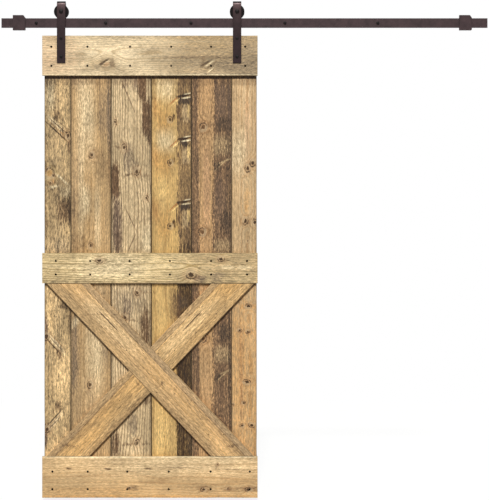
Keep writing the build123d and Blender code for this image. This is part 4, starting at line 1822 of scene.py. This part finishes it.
TOP_LEDGE = PineFinish(
    early="e3cda6",
    late="ad9063",
    seed=21.0,
    pith_share=0.45,
    pith_depth=0.06,
    contrast=0.5,
    mottle=0.32,
    patch=1.0,
    stains=(
        Stain(0.5, 0.05, 0.1, 0.1, ROSE, 0.3, 0.8),
        Stain(0.3, 0.84, 0.13, 0.26, TAN, 0.85, 0.6),
        Stain(0.85, 0.92, 0.07, 0.26, ASH, 0.6, 0.8),
        Stain(0.45, 0.99, 0.11, 0.1, ASH, 0.45, 0.8),
        Stain(0.33, 0.62, 0.004, 0.2, UMBER, 0.3),
        Stain(0.55, 0.72, 0.006, 0.16, UMBER, 0.35, lean=1.5),
        Stain(0.86, 0.2, 0.004, 0.15, UMBER, 0.25),
        Stain(0.02, 0.45, 0.008, 0.2, ASH, 0.4),
        Stain(0.72, 0.25, 0.02, 0.03, TAN, 0.5),
        # Painted highlight: a pale line along the lower eased edge.
        Stain(0.985, 0.5, 0.003, 0.6, CREAM, 0.7, 0.5, fray=0.2),
        Stain(0.7, 0.305, 0.03, 0.034, TAN, 0.5, 0.8, fray=0.4),
        Stain(0.7, 0.298, 0.014, 0.02, CREAM, 0.7, lean=-0.6, fray=0.25),
        Stain(0.712, 0.3, 0.011, 0.015, RUST, 0.6, 0.6, lean=-0.8, fray=0.3),
        Stain(0.652, 0.2894, 0.014, 0.0095, KNOT, 1.2, 0.5, lean=-1.4, fray=0.3),
        Stain(0.712, 0.2755, 0.0065, 0.0075, PEAT, 1.0, 0.6, lean=-0.6, fray=0.3),
        Stain(0.797, 0.2584, 0.009, 0.012, ASH, 0.5, 0.8),
        Stain(0.69, 0.325, 0.02, 0.0105, UMBER, 1.0, 0.7, lean=0.2, fray=0.4),
        Stain(0.72, 0.77, 0.022, 0.026, TAN, 0.5, 0.8, fray=0.4),
        Stain(0.71, 0.775, 0.016, 0.006, CREAM, 0.7, lean=-1.4, fray=0.25),
        Stain(0.6, 0.7515, 0.009, 0.012, UMBER, 0.6, 0.8, fray=0.5),
        Stain(0.746, 0.7456, 0.01, 0.011, UMBER, 0.65, 0.8, fray=0.5),
        Stain(0.675, 0.765, 0.0145, 0.0085, PEAT, 1.2, 0.5, lean=-1.4, fray=0.3),
        Stain(0.715, 0.7977, 0.014, 0.005, UMBER, 0.8, 0.6, lean=-0.6, fray=0.3),
        Stain(0.859, 0.784, 0.01, 0.0045, CREAM, 0.8, lean=-1.2, fray=0.3),
        Stain(0.87, 0.79, 0.01, 0.004, UMBER, 0.6, lean=-1.2, fray=0.3),
        Stain(0.76, 0.781, 0.012, 0.0045, UMBER, 0.9, 0.5, lean=-1.3, fray=0.3),
    ),
    knots=(
        Knot(0.69, 0.3, 0.024, 1.2, UMBER, TAN, 0.45, 0.0),
        Knot(0.72, 0.77, 0.021, 1.25, UMBER, TAN, 0.45, 0.0),
    ),
)

MIDDLE_LEDGE = PineFinish(
    early="d7bf90",
    late="a08653",
    seed=25.5,
    pith_share=0.47,
    pith_depth=0.0245,
    ring=0.008,
    wander=0.012,
    contrast=0.75,
    mottle=0.36,
    stains=(
        Stain(0.87, 0.732, 0.018, 0.03, SLATE, 1.0),
        Stain(0.8, 0.812, 0.022, 0.026, ASH, 0.75),
        Stain(0.45, 0.95, 0.07, 0.22, TAN, 0.7, 0.8),
        Stain(0.45, 0.33, 0.05, 0.13, CREAM, 0.45, 0.8),
        Stain(0.47, 0.86, 0.008, 0.03, CREAM, 0.3),
        Stain(0.47, 0.937, 0.008, 0.028, CREAM, 0.3),
        Stain(0.6, 0.146, 0.004, 0.008, UMBER, 0.8),
        Stain(0.96, 0.5, 0.005, 0.5, UMBER, 0.3),
    ),
    knots=(
        Knot(0.25, 0.266, 0.0125, 1.35, fill=1.0),
        Knot(0.72, 0.691, 0.019, 1.2, KNOT, RUST, fill=1.0),
        Knot(0.2, 0.832, 0.0125, 1.35, fill=1.0),
    ),
)

BOTTOM_LEDGE = PineFinish(
    early="cdab7b",
    late="a87c48",
    seed=29.8,
    pith_share=0.6,
    pith_depth=0.07,
    contrast=0.45,
    mottle=0.22,
    weathering=0.2,
    patch=1.0,
    stains=(
        # Painted highlight: a pale line along the upper eased edge, which faces the light.
        Stain(0.012, 0.5, 0.0035, 0.6, CREAM, 0.85, 0.5, fray=0.2),
        Stain(0.84, 0.2, 0.018, 0.2, HONEY, 0.5),
        Stain(0.88, 0.15, 0.06, 0.24, TAN, 0.6, 0.8),
        Stain(0.2, 0.03, 0.05, 0.1, TAN, 0.5, 0.8),
        Stain(0.16, 0.62, 0.05, 0.4, CREAM, 0.35, 0.8),
        Stain(0.97, 0.5, 0.006, 0.5, HONEY, 0.5),
        Stain(0.29, 0.125, 0.0045, 0.012, UMBER, 0.9, lean=0.4, fray=0.5),
        Stain(0.3, 0.305, 0.005, 0.014, UMBER, 0.9, lean=0.5, fray=0.5),
        Stain(0.29, 0.493, 0.0045, 0.012, UMBER, 0.9, lean=0.5, fray=0.5),
        Stain(0.27, 0.66, 0.003, 0.09, UMBER, 0.4),
        Stain(0.31, 0.9, 0.003, 0.09, UMBER, 0.4),
        Stain(0.78, 0.9, 0.006, 0.1, UMBER, 0.4),
        Stain(0.24, 0.81, 0.012, 0.005, UMBER, 0.6),
        Stain(0.76, 0.425, 0.01, 0.022, UMBER, 0.6, 0.8),
        Stain(0.79, 0.755, 0.013, 0.026, UMBER, 0.65, 0.8),
        Stain(0.79, 0.865, 0.009, 0.02, UMBER, 0.55, 0.8),
        Stain(0.78, 0.97, 0.012, 0.034, UMBER, 0.7, 0.8),
    ),
    knots=(
        Knot(0.76, 0.405, 0.007, 1.3, PEAT, fill=1.0),
        Knot(0.8, 0.748, 0.009, 1.3, fill=1.0),
        Knot(0.8, 0.958, 0.011, 1.4, fill=1.0),
        Knot(0.78, 0.86, 0.006, 1.5, UMBER, fill=1.0),
        Knot(0.19, 0.814, 0.007, 0.8, UMBER),
    ),
)

LEDGE_FINISHES = {
    "top_ledge": TOP_LEDGE,
    "middle_ledge": MIDDLE_LEDGE,
    "bottom_ledge": BOTTOM_LEDGE,
}

# The lean of a brace's end cuts, and how far the upper one lies before its corner, as a share.
BRACE_CUT = -0.952
BRACE_HEAD = -0.062

BRACE_MARKS = (
    Stain(0.1, 0.5, 0.0144, 1.6, ASH, 0.5, 0.05, fray=0.06),
    Stain(0.87, 0.5, 0.0187, 1.6, TAN, 0.35, 0.05, fray=0.06),
    # Painted shade: a dark line along the brace's lower edge.
    Stain(0.995, 0.5, 0.002, 1.6, KNOT, 0.6, 0.5, fray=0.1),
    # Dark lines across the two end cuts where the braces butt the ledges; the upper one is also painted shade
    # below the middle ledge.
    Stain(0.5, BRACE_HEAD, 0.14, 0.0024, KNOT, 0.9, 0.4, lean=BRACE_CUT, fray=0.1),
    Stain(0.5, 1.0 + BRACE_HEAD, 0.14, 0.0024, KNOT, 0.7, 0.4, lean=BRACE_CUT, fray=0.1),
    Stain(0.45, 0.2, 0.035, 0.17, CREAM, 0.22, 0.5, fray=0.4),
    Stain(0.28, 0.78, 0.019, 0.28, BARK, 0.24, 0.4, fray=0.3),
    Stain(0.92, 0.78, 0.013, 0.3, UMBER, 0.32, 0.3, fray=0.3),
    Stain(0.2, 0.5, 0.0016, 1.6, UMBER, 0.6, fray=0.3),
    Stain(0.74, 0.5, 0.0014, 1.6, UMBER, 0.35, fray=0.3),
    Stain(0.62, 0.45, 0.0025, 0.3, UMBER, 0.4, lean=2.0),
    Stain(0.55, 0.515, 0.02, 0.005, UMBER, 0.6),
    Stain(0.39, 0.168, 0.0024, 0.064, KNOT, 1.0, 0.3, fray=0.3),
    Stain(0.45, 0.125, 0.055, 0.003, UMBER, 0.55, lean=-0.95),
    Stain(0.3, 0.9, 0.03, 0.006, UMBER, 0.6, lean=-0.8),
)

LONG_BRACE_FINISH = PineFinish(
    early="d1aa76",
    late="9c7842",
    seed=33.1,
    pith_depth=0.07,
    contrast=0.5,
    mottle=0.36,
    stains=BRACE_MARKS,
)

CROSS_BRACE_FINISH = replace(LONG_BRACE_FINISH, early="cda46b", late="9c7742", seed=36.6)


@dataclass
class DoorLeaf:
    """The leaf: six tongued boards, three ledges, an X of braces and their nails."""

    finisher: Finisher
    trees: GeometryTrees
    nodes: dict[str, Object]
    iron: Material
    tongue_length: float = 0.007
    tongue_thickness: float = 0.006
    groove_clearance: float = 0.0004
    board_bevel: float = 0.0022
    board_ease: float = 0.0008
    timber_ease: float = 0.0018
    contact_width: float = 0.005
    nail: Nail = Nail(0.0061, 0.0022, 0.0024, 0.5, 5)
    nail_reach: float = 0.02
    brad: Nail = Nail(0.0026, 0.0009, 0.001, 3.0, 8)
    brad_length: float = 0.012
    brad_sink: float = 0.0002
    long_brads: tuple[Pair, ...] = (
        *((0.22, 0.11), (0.62, 0.31), (0.29, 0.37), (0.85, 0.525), (0.47, 0.58)),
        *((0.2, 0.61), (0.57, 0.8), (0.23, 0.845), (0.08, 0.865)),
    )
    cross_brads: tuple[Pair, ...] = (
        *((0.25, 0.107), (0.63, 0.31), (0.31, 0.365), (0.47, 0.62)),
        *((0.23, 0.64), (0.24, 0.84), (0.08, 0.86)),
    )

    def _timber(self, plank: Plank, finish: PineFinish, slot: Slot) -> None:
        """Build one plank's piece in its own finish.

        Args:
            plank: The plank, which has its CAD node's name.
            finish: Its wood and marks.
            slot: The record's material slot.
        """
        material = self.finisher.pine(f"pine_{plank.name}", finish, plank.frame)
        piece = new_piece(f"{plank.name}_timber", plank.mesh(), material)
        hand_over(piece, Body.DOOR, slot, plank.name)

    def _corners(self, name: str) -> list[Vector]:
        """Find the four corners of a brace's back face.

        Args:
            name: The brace's node.

        Returns:
            The corners, brought to its front.
        """
        low, high = span(name)
        spots = {
            (round(vertex.co.x, 5), round(vertex.co.z, 5))
            for vertex in self.nodes[name].data.vertices
            if vertex.co.y > high.y - FLUSH
        }
        return [Vector((x, low.y, z)) for x, z in spots]

    def _brace_frames(self) -> tuple[GrainFrame, GrainFrame]:
        """Find where the two diagonals run.

        Returns:
            The grain frames of the whole diagonal and of the butted halves.
        """
        corners = sorted(self._corners("long_brace"), key=lambda corner: (-round(corner.z, 3), corner.x))
        top_left, top_right, _, bottom_right = corners
        reach = bottom_right - top_right
        slope = math.atan2(-reach.z, reach.x)
        straight = GrainFrame(top_right, slope, False, 0.0, reach.length)
        long_frame = replace(straight, width=straight.place(top_left)[0])
        mirror = sum(corner[0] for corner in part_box("long_brace"))
        cross_corner = Vector((mirror - top_right.x, top_right.y, top_right.z))
        return long_frame, replace(long_frame, corner=cross_corner, mirrored=True)

    def _contact_lines(self, board: GrainFrame) -> tuple[Stain, ...]:
        """Give the lines of painted shade that a board has below the lower edges of the braces.

        Args:
            board: Where the board's grain runs.

        Returns:
            One mark for each brace.
        """
        marks = []
        middle = board.corner.x + board.width / 2
        half = self.contact_width * 1.4
        for brace in self._brace_frames():
            start = brace.point(brace.width, 0.0, 0.0)
            foot = start + brace.along * ((middle - start.x) / brace.along.x)
            lean = -brace.along.z / brace.along.x
            share = (board.corner.z - foot.z + self.contact_width) / board.length
            marks.append(Stain(0.5, share, board.width, half, Tint.KNOT, 0.75, 0.6, lean=lean, fray=0.15))
        return tuple(marks)

    def _board_section(self, width: float, thick: float, grooved: bool, tongued: bool) -> tuple[Pair, ...]:
        """Draw a board's section with V joints at both faces.

        Args:
            width: Its width without the tongue.
            thick: Its thickness.
            grooved: Whether its left edge has a groove.
            tongued: Whether its right edge has a tongue.

        Returns:
            Corners as distances across and into the wood.
        """
        bevel, middle, tongue = self.board_bevel, thick / 2, self.tongue_thickness / 2
        section = [(0.0, bevel), (bevel, 0.0), (width - bevel, 0.0), (width, bevel)]
        if tongued:
            upper, lower, reach = middle - tongue, middle + tongue, width + self.tongue_length
            section += [(width, upper), (reach, upper), (reach, lower), (width, lower)]
        section += [(width, thick - bevel), (width - bevel, thick), (bevel, thick), (0.0, thick - bevel)]
        if grooved:
            slot, deep = tongue + self.groove_clearance, self.tongue_length + self.groove_clearance
            upper, lower = middle - slot, middle + slot
            section += [(0.0, lower), (deep, lower), (deep, upper), (0.0, upper)]
        return tuple(section)

    def _boards(self) -> None:
        """Build the upright boards with their tongues and grooves."""
        last = len(BOARD_FINISHES)
        for number, finish in enumerate(BOARD_FINISHES, start=1):
            name, tongued = f"board_{number}", number < last
            low, high = span(name)
            right = high.x - (self.tongue_length if tongued else 0.0)
            width, thick = right - low.x, high.y - low.y
            frame = GrainFrame(Vector((low.x, low.y, high.z)), math.pi / 2, True, width, high.z - low.z)
            section = self._board_section(width, thick, number > 1, tongued)
            ends = (frame.length, frame.length)
            plank = Plank(name, frame, section, thick, (0.0, 0.0), ends, self.board_ease, seed=finish.seed)
            # Painted shade: dark lines on the board under the braces' lower edges, where their shadow falls.
            marked = replace(finish, stains=finish.stains + self._contact_lines(frame))
            self._timber(plank, marked, Slot.BOARD)

    def _ledges(self) -> None:
        """Build the three boards across the front."""
        for name, finish in LEDGE_FINISHES.items():
            low, high = span(name)
            thick = high.y - low.y
            frame = GrainFrame(Vector((low.x, low.y, high.z)), 0.0, False, high.z - low.z, high.x - low.x)
            section = eased_section(frame.width, thick, self.timber_ease)
            ends = (frame.length, frame.length)
            plank = Plank(name, frame, section, thick, (0.0, 0.0), ends, self.timber_ease, seed=finish.seed)
            self._timber(plank, finish, Slot.LEDGE)

    def _braces(self) -> tuple[GrainFrame, GrainFrame]:
        """Build the whole diagonal and the two butted halves.

        Returns:
            The grain frames of the whole diagonal and of the halves.
        """
        long_frame, cross_frame = self._brace_frames()
        low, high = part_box("long_brace")
        thick = high[1] - low[1]
        section = eased_section(long_frame.width, thick, self.timber_ease)
        jobs = (
            ("long_brace", long_frame, LONG_BRACE_FINISH),
            ("upper_half_brace", cross_frame, CROSS_BRACE_FINISH),
            ("lower_half_brace", cross_frame, CROSS_BRACE_FINISH),
        )
        for name, frame, finish in jobs:
            spots = sorted(frame.place(corner) for corner in self._corners(name))
            upper, lower = (sorted(along for _, along in edge) for edge in (spots[:2], spots[2:]))
            starts, ends = zip(upper, lower)
            plank = Plank(name, frame, section, thick, starts, ends, self.timber_ease, seed=finish.seed)
            self._timber(plank, finish, Slot.BRACE)
        return long_frame, cross_frame

    def _nails(self) -> None:
        """Set a faceted nail on each place that the frame's nails have."""
        for name in LEDGE_FINISHES:
            node = f"{name}_nails"
            low, high = span(node)
            seat = low.y + self.nail.head_height
            spots = seats(self.nodes[node], low.y + NEAR, seat, self.nail_reach)
            sizes = named(**vars(self.nail), shank_length=high.y - seat)
            piece = grow(f"{node}_cut", self.trees.nail, spots, self.iron, sizes)
            hand_over(piece, Body.DOOR, Slot.IRON, node)

    def _brads(self, frames: Sequence[GrainFrame]) -> None:
        """Set the small nails of the braces.

        Args:
            frames: Where the grain of the two diagonals runs.
        """
        spots = [
            frame.point(across * frame.width, self.brad_sink, along * frame.length)
            for frame, shares in zip(frames, (self.long_brads, self.cross_brads))
            for across, along in shares
        ]
        sizes = named(**vars(self.brad), shank_length=self.brad_length)
        piece = grow("brace_brads", self.trees.nail, spots, self.iron, sizes)
        hand_over(piece, Body.DOOR, Slot.IRON)

    def build(self) -> None:
        """Build the whole leaf."""
        self._boards()
        self._ledges()
        frames = self._braces()
        self._nails()
        self._brads(frames)


@dataclass
class Hangers:
    """The two bent straps with their wheels, axle bolts, nuts and lag screws."""

    trees: GeometryTrees
    nodes: dict[str, Object]
    bronze: Material
    iron: Material
    wheel_coat: Material
    strap_thickness: float = 0.005
    strap_round: float = 0.0006
    strap_corner: float = math.radians(40)
    bend_steps: int = 28
    flange_depth: float = 0.0045
    groove_width: float = 0.008
    groove_round: float = 0.0004
    rim_round: float = 0.0011
    bore_radius: float = 0.00605
    bore_round: float = 0.0005
    hub_radius: float = 0.0125
    web_radius: float = 0.026
    web_depth: float = 0.0012
    wheel_steps: int = 96
    axle: Fastener = Fastener(0.003, 0.006, 0.0008, 0.00175, 0.0006, 0.0046, 3)
    nut_bevel: float = 0.0014
    lag: Fastener = Fastener(0.0013, 0.004, 0.0011, 0.0032, 0.005, 0.0006, 6)
    lag_flats: float = 0.013
    lag_plain: float = 0.012
    lag_reach: float = 0.03

    def _strap(self, side: str) -> None:
        """Bend one strap over its wheel.

        Args:
            side: Left or right.
        """
        node = f"{side}_hanger_strap"
        low, high = span(node)
        middle = (low.y + high.y) / 2
        outer = (high.y - low.y) / 2
        inner = outer - self.strap_thickness
        bend = high.z - outer
        heel = min(vertex.co.z for vertex in self.nodes[node].data.vertices if vertex.co.y > middle)
        legs = [(-1.0, 0.0, low.z - bend)]
        arc = [math.pi * step / self.bend_steps for step in range(self.bend_steps + 1)]
        legs += [(-math.cos(angle), math.sin(angle), 0.0) for angle in arc]
        legs.append((1.0, 0.0, heel - bend))
        sheet = bmesh.new()
        rows = [
            [
                sheet.verts.new((x, middle + radius * way, bend + radius * lift + drop))
                for radius in (outer, inner)
                for x in (low.x, high.x)
            ]
            for way, lift, drop in legs
        ]
        for first, second in zip(rows, rows[1:]):
            for here, there in ((0, 1), (1, 3), (3, 2), (2, 0)):
                sheet.faces.new((first[here], first[there], second[there], second[here]))
        for row in (rows[0], rows[-1]):
            sheet.faces.new((row[0], row[1], row[3], row[2]))
        bmesh.ops.recalc_face_normals(sheet, faces=sheet.faces)
        sharp = [edge for edge in sheet.edges if edge.calc_face_angle(0.0) > self.strap_corner]
        bmesh.ops.bevel(
            sheet,
            geom=sharp,
            offset=self.strap_round,
            segments=2,
            profile=0.5,
            affect="EDGES",
            clamp_overlap=True,
        )
        piece = new_piece(f"{side}_strap_bent", settled(sheet, node), self.bronze)
        hand_over(piece, Body.DOOR, Slot.BRONZE, node)

    def _wheel_profile(self, rim: float, half: float) -> list[Pair]:
        """Draw the section that a wheel is turned from.

        Args:
            rim: The flanges' radius.
            half: Half of the wheel's width.

        Returns:
            Corners as distances from the axle and from the wheel's middle.
        """
        tread, groove, soft = rim - self.flange_depth, self.groove_width / 2, self.rim_round
        sunk = half - self.web_depth
        flank = [
            (self.bore_radius, half - self.bore_round),
            (self.bore_radius + self.bore_round, half),
            (self.hub_radius, half),
            (self.hub_radius + self.web_depth, sunk),
            (self.web_radius, sunk),
            (self.web_radius + self.web_depth, half),
            (rim - soft, half),
            (rim - 0.3 * soft, half - 0.3 * soft),
            (rim, half - soft),
            (rim, groove + 0.5 * soft),
            (rim - 0.5 * soft, groove),
            (tread + self.groove_round, groove),
            (tread, groove - self.groove_round),
        ]
        return flank + [(radius, -reach) for radius, reach in reversed(flank)]

    def _wheel(self, side: str, body: Body) -> None:
        """Turn one grooved wheel.

        Args:
            side: Left or right.
            body: The wheel's body.
        """
        node = f"{side}_wheel"
        low, high = span(node)
        centre = (low + high) / 2
        profile = self._wheel_profile((high.z - low.z) / 2, (high.y - low.y) / 2)
        sheet = bmesh.new()
        rings = []
        for step in range(self.wheel_steps):
            angle = 2 * math.pi * step / self.wheel_steps
            spots = [
                centre + Vector((radius * math.cos(angle), reach, radius * math.sin(angle)))
                for radius, reach in profile
            ]
            rings.append([sheet.verts.new(spot) for spot in spots])
        for ring, following in zip(rings, rings[1:] + rings[:1]):
            for index in range(len(profile)):
                other = (index + 1) % len(profile)
                sheet.faces.new((ring[index], ring[other], following[other], following[index]))
        bmesh.ops.recalc_face_normals(sheet, faces=sheet.faces)
        piece = new_piece(f"{side}_wheel_turned", settled(sheet, node), self.wheel_coat)
        hand_over(piece, body, Slot.IRON, node)

    def _axles(self) -> None:
        """Set the axle bolts and their nuts."""
        low, high = span("axle_bolts")
        nut_low, nut_high = span("axle_nuts")
        seat = span("left_hanger_strap")[0].y
        wheels = [sum(span(f"{side}_wheel"), Vector()) / 2 for side in ("left", "right")]
        sizes = named(
            **vars(self.axle),
            head_flats=high.z - low.z,
            head_height=seat - low.y,
            shank_length=high.y - seat,
            plain_length=nut_low.y - seat,
        )
        spots = [Vector((wheel.x, seat, wheel.z)) for wheel in wheels]
        bolts = grow("axle_bolts_cut", self.trees.fastener, spots, self.iron, sizes)
        hand_over(bolts, Body.DOOR, Slot.IRON, "axle_bolts")
        _, tall, wide = nut_high - nut_low
        sizes = named(flats=wide, height=tall, bevel=self.nut_bevel, turn=0.5, seed=4)
        spots = [Vector((wheel.x, nut_low.y, wheel.z)) for wheel in wheels]
        nuts = grow("axle_nuts_cut", self.trees.nut, spots, self.iron, sizes)
        hand_over(nuts, Body.DOOR, Slot.IRON, "axle_nuts")

    def _lags(self) -> None:
        """Set the lag screws that hold the straps to the door."""
        low, high = span("strap_screws")
        seat = span("left_hanger_strap")[0].y
        spots = seats(self.nodes["strap_screws"], seat - NEAR, seat, self.lag_reach)
        sizes = named(
            **vars(self.lag),
            head_flats=self.lag_flats,
            head_height=seat - low.y,
            shank_length=high.y - seat,
            plain_length=self.lag_plain,
        )
        piece = grow("strap_screws_cut", self.trees.fastener, spots, self.iron, sizes)
        hand_over(piece, Body.DOOR, Slot.IRON, "strap_screws")

    def build(self) -> None:
        """Build both hangers."""
        for side, body in (("left", Body.LEFT_WHEEL), ("right", Body.RIGHT_WHEEL)):
            self._strap(side)
            self._wheel(side, body)
        self._axles()
        self._lags()


@dataclass
class Track:
    """The flat bar with its stops, wall screws and spacers."""

    trees: GeometryTrees
    nodes: dict[str, Object]
    bronze: Material
    iron: Material
    screw: Fastener = Fastener(0.0013, 0.004, 0.0012, 0.0036, 0.009, 0.0005, 2)
    screw_reach: float = 0.03
    thread_start: float = 0.001
    spacer_bore_radius: float = 0.00455
    spacer_round: float = 0.0007

    def build(self) -> None:
        """Dress the bar and stops, and set the screws and spacers."""
        for name in ("track_bar", "left_stop", "right_stop"):
            dress(self.nodes[name], self.bronze)
        dress(self.nodes["stop_grub_screws"], self.iron)
        low, high = span("wall_screws")
        seat = span("track_bar")[0].y
        places = seats(self.nodes["wall_screws"], seat - NEAR, seat, self.screw_reach)
        sizes = named(
            **vars(self.screw),
            head_flats=high.z - low.z,
            head_height=seat - low.y,
            shank_length=high.y - seat,
            plain_length=self.thread_start - seat,
        )
        piece = grow("wall_screws_cut", self.trees.fastener, places, self.iron, sizes)
        hand_over(piece, Body.TRACK, Slot.IRON, "wall_screws")
        low, high = span("wall_spacers")
        sizes = named(
            outer_radius=(high.z - low.z) / 2,
            inner_radius=self.spacer_bore_radius,
            length=high.y - low.y,
            rounding=self.spacer_round,
            turn=3.0,
            seed=1,
        )
        spots = [Vector((place.x, high.y, place.z)) for place in places]
        piece = grow("wall_spacers_cut", self.trees.tube, spots, self.bronze, sizes)
        hand_over(piece, Body.TRACK, Slot.BRONZE, "wall_spacers")


@dataclass
class Studio:
    """The camera, the lights, the pale floor and the white background.

    Places in the photograph are in its pixels, which are counted from its upper left corner.
    """

    image_width: float = 489.0
    image_height: float = 500.0
    bar_left_pixel: float = 1.45
    bar_right_pixel: float = 487.5
    bar_row_pixel: float = 23.0
    camera_distance: float = 7.0
    camera_sight: float = 60.0
    floor_gap: float = 0.012
    floor_size: float = 9.0
    floor_colour: Colour = (0.9, 0.9, 0.89, 1.0)
    floor_roughness: float = 0.9
    floor_glow: float = 1.15
    floor_glow_share: float = 0.7
    room_colour: Colour = (1.0, 0.985, 0.96, 1.0)
    white: Colour = (1.0, 1.0, 1.0, 1.0)
    fill_level: float = 0.31
    key_strength: float = 1.85
    key_height: float = math.radians(40)
    key_spread: float = math.radians(5)
    key_distance: float = 3.0
    box_power: float = 60.0
    box_size: Pair = (3.6, 1.2)
    box_place: Triple = (-0.4, -5.2, 3.6)

    @staticmethod
    def _link(name: str, data: ID) -> Object:
        """Link a camera, a lamp or the floor into the scene.

        Args:
            name: The object's name.
            data: Its camera, lamp or mesh.

        Returns:
            The object.
        """
        thing = bpy.data.objects.new(name, data)
        bpy.context.scene.collection.objects.link(thing)
        return thing

    def _camera(self) -> Vector:
        """Set the camera straight in front, framed as the photograph is.

        Returns:
            The point that it looks at.
        """
        low, high = span("track_bar")
        metre_per_pixel = (high.x - low.x) / (self.bar_right_pixel - self.bar_left_pixel)
        target = Vector(
            (
                low.x + (self.image_width / 2 - self.bar_left_pixel) * metre_per_pixel,
                low.y,
                (low.z + high.z) / 2 - (self.image_height / 2 - self.bar_row_pixel) * metre_per_pixel,
            )
        )
        lens = bpy.data.cameras.new("front_camera")
        lens.sensor_fit = "HORIZONTAL"
        lens.lens = lens.sensor_width * self.camera_distance / (self.image_width * metre_per_pixel)
        lens.clip_end = self.camera_sight
        camera = self._link("front_camera", lens)
        camera.location = target - Vector((0.0, self.camera_distance, 0.0))
        camera.rotation_euler = (math.pi / 2, 0.0, 0.0)
        bpy.context.scene.camera = camera
        return target

    def _lamp(self, light: Light, target: Vector, offset: Vector) -> None:
        """Hang a lamp so that it faces the target.

        Args:
            light: The lamp's light.
            target: The point that it faces.
            offset: How far from there it hangs.
        """
        lamp = self._link(light.name, light)
        lamp.location = target + offset
        lamp.rotation_euler = (target - lamp.location).to_track_quat("-Z", "Y").to_euler()

    def _lights(self, target: Vector) -> None:
        """Set a soft key from above and a broad box in front.

        Args:
            target: The point that the lamps face.
        """
        sun = bpy.data.lights.new("key", "SUN")
        sun.energy = self.key_strength
        sun.angle = self.key_spread
        away = Vector((0.0, -math.cos(self.key_height), math.sin(self.key_height)))
        self._lamp(sun, target, self.key_distance * away)
        panel = bpy.data.lights.new("front_box", "AREA")
        panel.shape = "RECTANGLE"
        panel.size, panel.size_y = self.box_size
        panel.energy = self.box_power
        self._lamp(panel, target, Vector(self.box_place))

    def _world(self) -> None:
        """Make a plain white surround that lights the object softly."""
        world = bpy.data.worlds.new("white_room")
        bpy.context.scene.world = world
        world.use_nodes = True
        graph = Graph(world.node_tree)
        world.node_tree.nodes.clear()
        rays = graph.add("ShaderNodeLightPath").outputs
        seen = graph.math("MAXIMUM", rays["Is Camera Ray"], rays["Is Transmission Ray"])
        seen = graph.math("MAXIMUM", seen, rays["Is Glossy Ray"])
        room = graph.wire("ShaderNodeBackground", {"Color": self.room_colour, "Strength": self.fill_level})
        white = graph.wire("ShaderNodeBackground", {"Color": self.white, "Strength": 1.0})
        mixed = graph.wire("ShaderNodeMixShader", {0: seen, 1: room, 2: white})
        graph.feed(graph.add("ShaderNodeOutputWorld").inputs["Surface"], mixed)

    def _floor_finish(self) -> Material:
        """Make the floor's material, which glows a little so that it stays white.

        Returns:
            The material.
        """
        material = bpy.data.materials.new("pale_floor")
        material.use_nodes = True
        graph = Graph(material.node_tree)
        shader = material.node_tree.nodes["Principled BSDF"]
        graph.feed(shader.inputs["Base Color"], self.floor_colour)
        graph.feed(shader.inputs["Roughness"], self.floor_roughness)
        rays = graph.add("ShaderNodeLightPath").outputs
        seen = graph.math("MAXIMUM", rays["Is Camera Ray"], rays["Is Glossy Ray"])
        glow = graph.wire("ShaderNodeEmission", {"Color": self.white, "Strength": self.floor_glow})
        feeds = {0: graph.times(seen, self.floor_glow_share), 1: shader.outputs[0], 2: glow}
        mixed = graph.wire("ShaderNodeMixShader", feeds)
        graph.feed(material.node_tree.nodes["Material Output"].inputs["Surface"], mixed)
        return material

    def _floor(self, target: Vector) -> None:
        """Lay a pale floor just below the door that keeps a light shadow.

        Args:
            target: The point above the floor's middle.
        """
        level = span("bottom_ledge")[0].z - self.floor_gap
        half = self.floor_size / 2
        corners = [
            (target.x + x * half, target.y + y * half, level)
            for x, y in ((-1, -1), (1, -1), (1, 1), (-1, 1))
        ]
        mesh = bpy.data.meshes.new("floor")
        mesh.from_pydata(corners, [], [(0, 1, 2, 3)])
        mesh.materials.append(self._floor_finish())
        self._link("floor", mesh)

    def build(self) -> None:
        """Set the whole studio."""
        bpy.context.scene.view_settings.view_transform = "Standard"
        target = self._camera()
        self._lights(target)
        self._world()
        self._floor(target)


BRONZE = SteelFinish("rubbed_bronze_coat", "3b2c2d", "241a1a", 0.42, 0.2, 0.8, 0.12, edge=0.003)
# The strap's bands: the near-black crown at the top of the bend is a painted dark reflection and the pale
# bands below it are a painted highlight; lower down the coat turns darker towards the bottom, with a dark
# line at the lower end.
STRAP = SteelFinish(
    "rubbed_strap_coat_painted_highlight",
    "3d2c2c",
    "4a3026",
    0.36,
    0.2,
    0.5,
    0.12,
    edge=0.004,
    bands=(
        Band(0.07, 0.32, "291c1e", 0.8, 0.05),
        Band(0.012, 0.03, "5a4546", 0.7, 0.008),
        Band(0.0095, 0.0165, "7a6564", 0.9, 0.003),
        Band(-0.004, 0.0095, "120b0c", 1.0, 0.001),
        Band(0.2855, 0.32, "120b0c", 0.9, 0.0008),
    ),
)
NAIL = SteelFinish("dull_nail_iron", "070504", "2a221c", 0.75, 0.0, 0.15, 0.2, sheen=0.05)
BLACK = SteelFinish("black_iron", "130e0d", "4f453d", 0.38, 0.3, 0.5, 0.2, sheen=0.18)
WHEEL = SteelFinish("black_wheel_coat", "130e0e", "2c2422", 0.5, 0.2, 0.5, 0.15, sheen=0.12)


def main() -> None:
    """Load the frame, build each sub-assembly and set the studio."""
    logging.basicConfig(level=logging.INFO, format="%(name)s: %(message)s")
    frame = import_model()
    nodes = frame["nodes"]
    finisher = Finisher(Effects())
    trees = GeometryTrees()
    bronze, iron, nail, wheel = (finisher.steel(finish) for finish in (BRONZE, BLACK, NAIL, WHEEL))
    strap = finisher.steel(STRAP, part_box("left_hanger_strap")[1][2])
    Track(trees, nodes, bronze, iron).build()
    DoorLeaf(finisher, trees, nodes, nail).build()
    Hangers(trees, nodes, strap, iron, wheel).build()
    Studio().build()


if __name__ == "__main__":
    main()
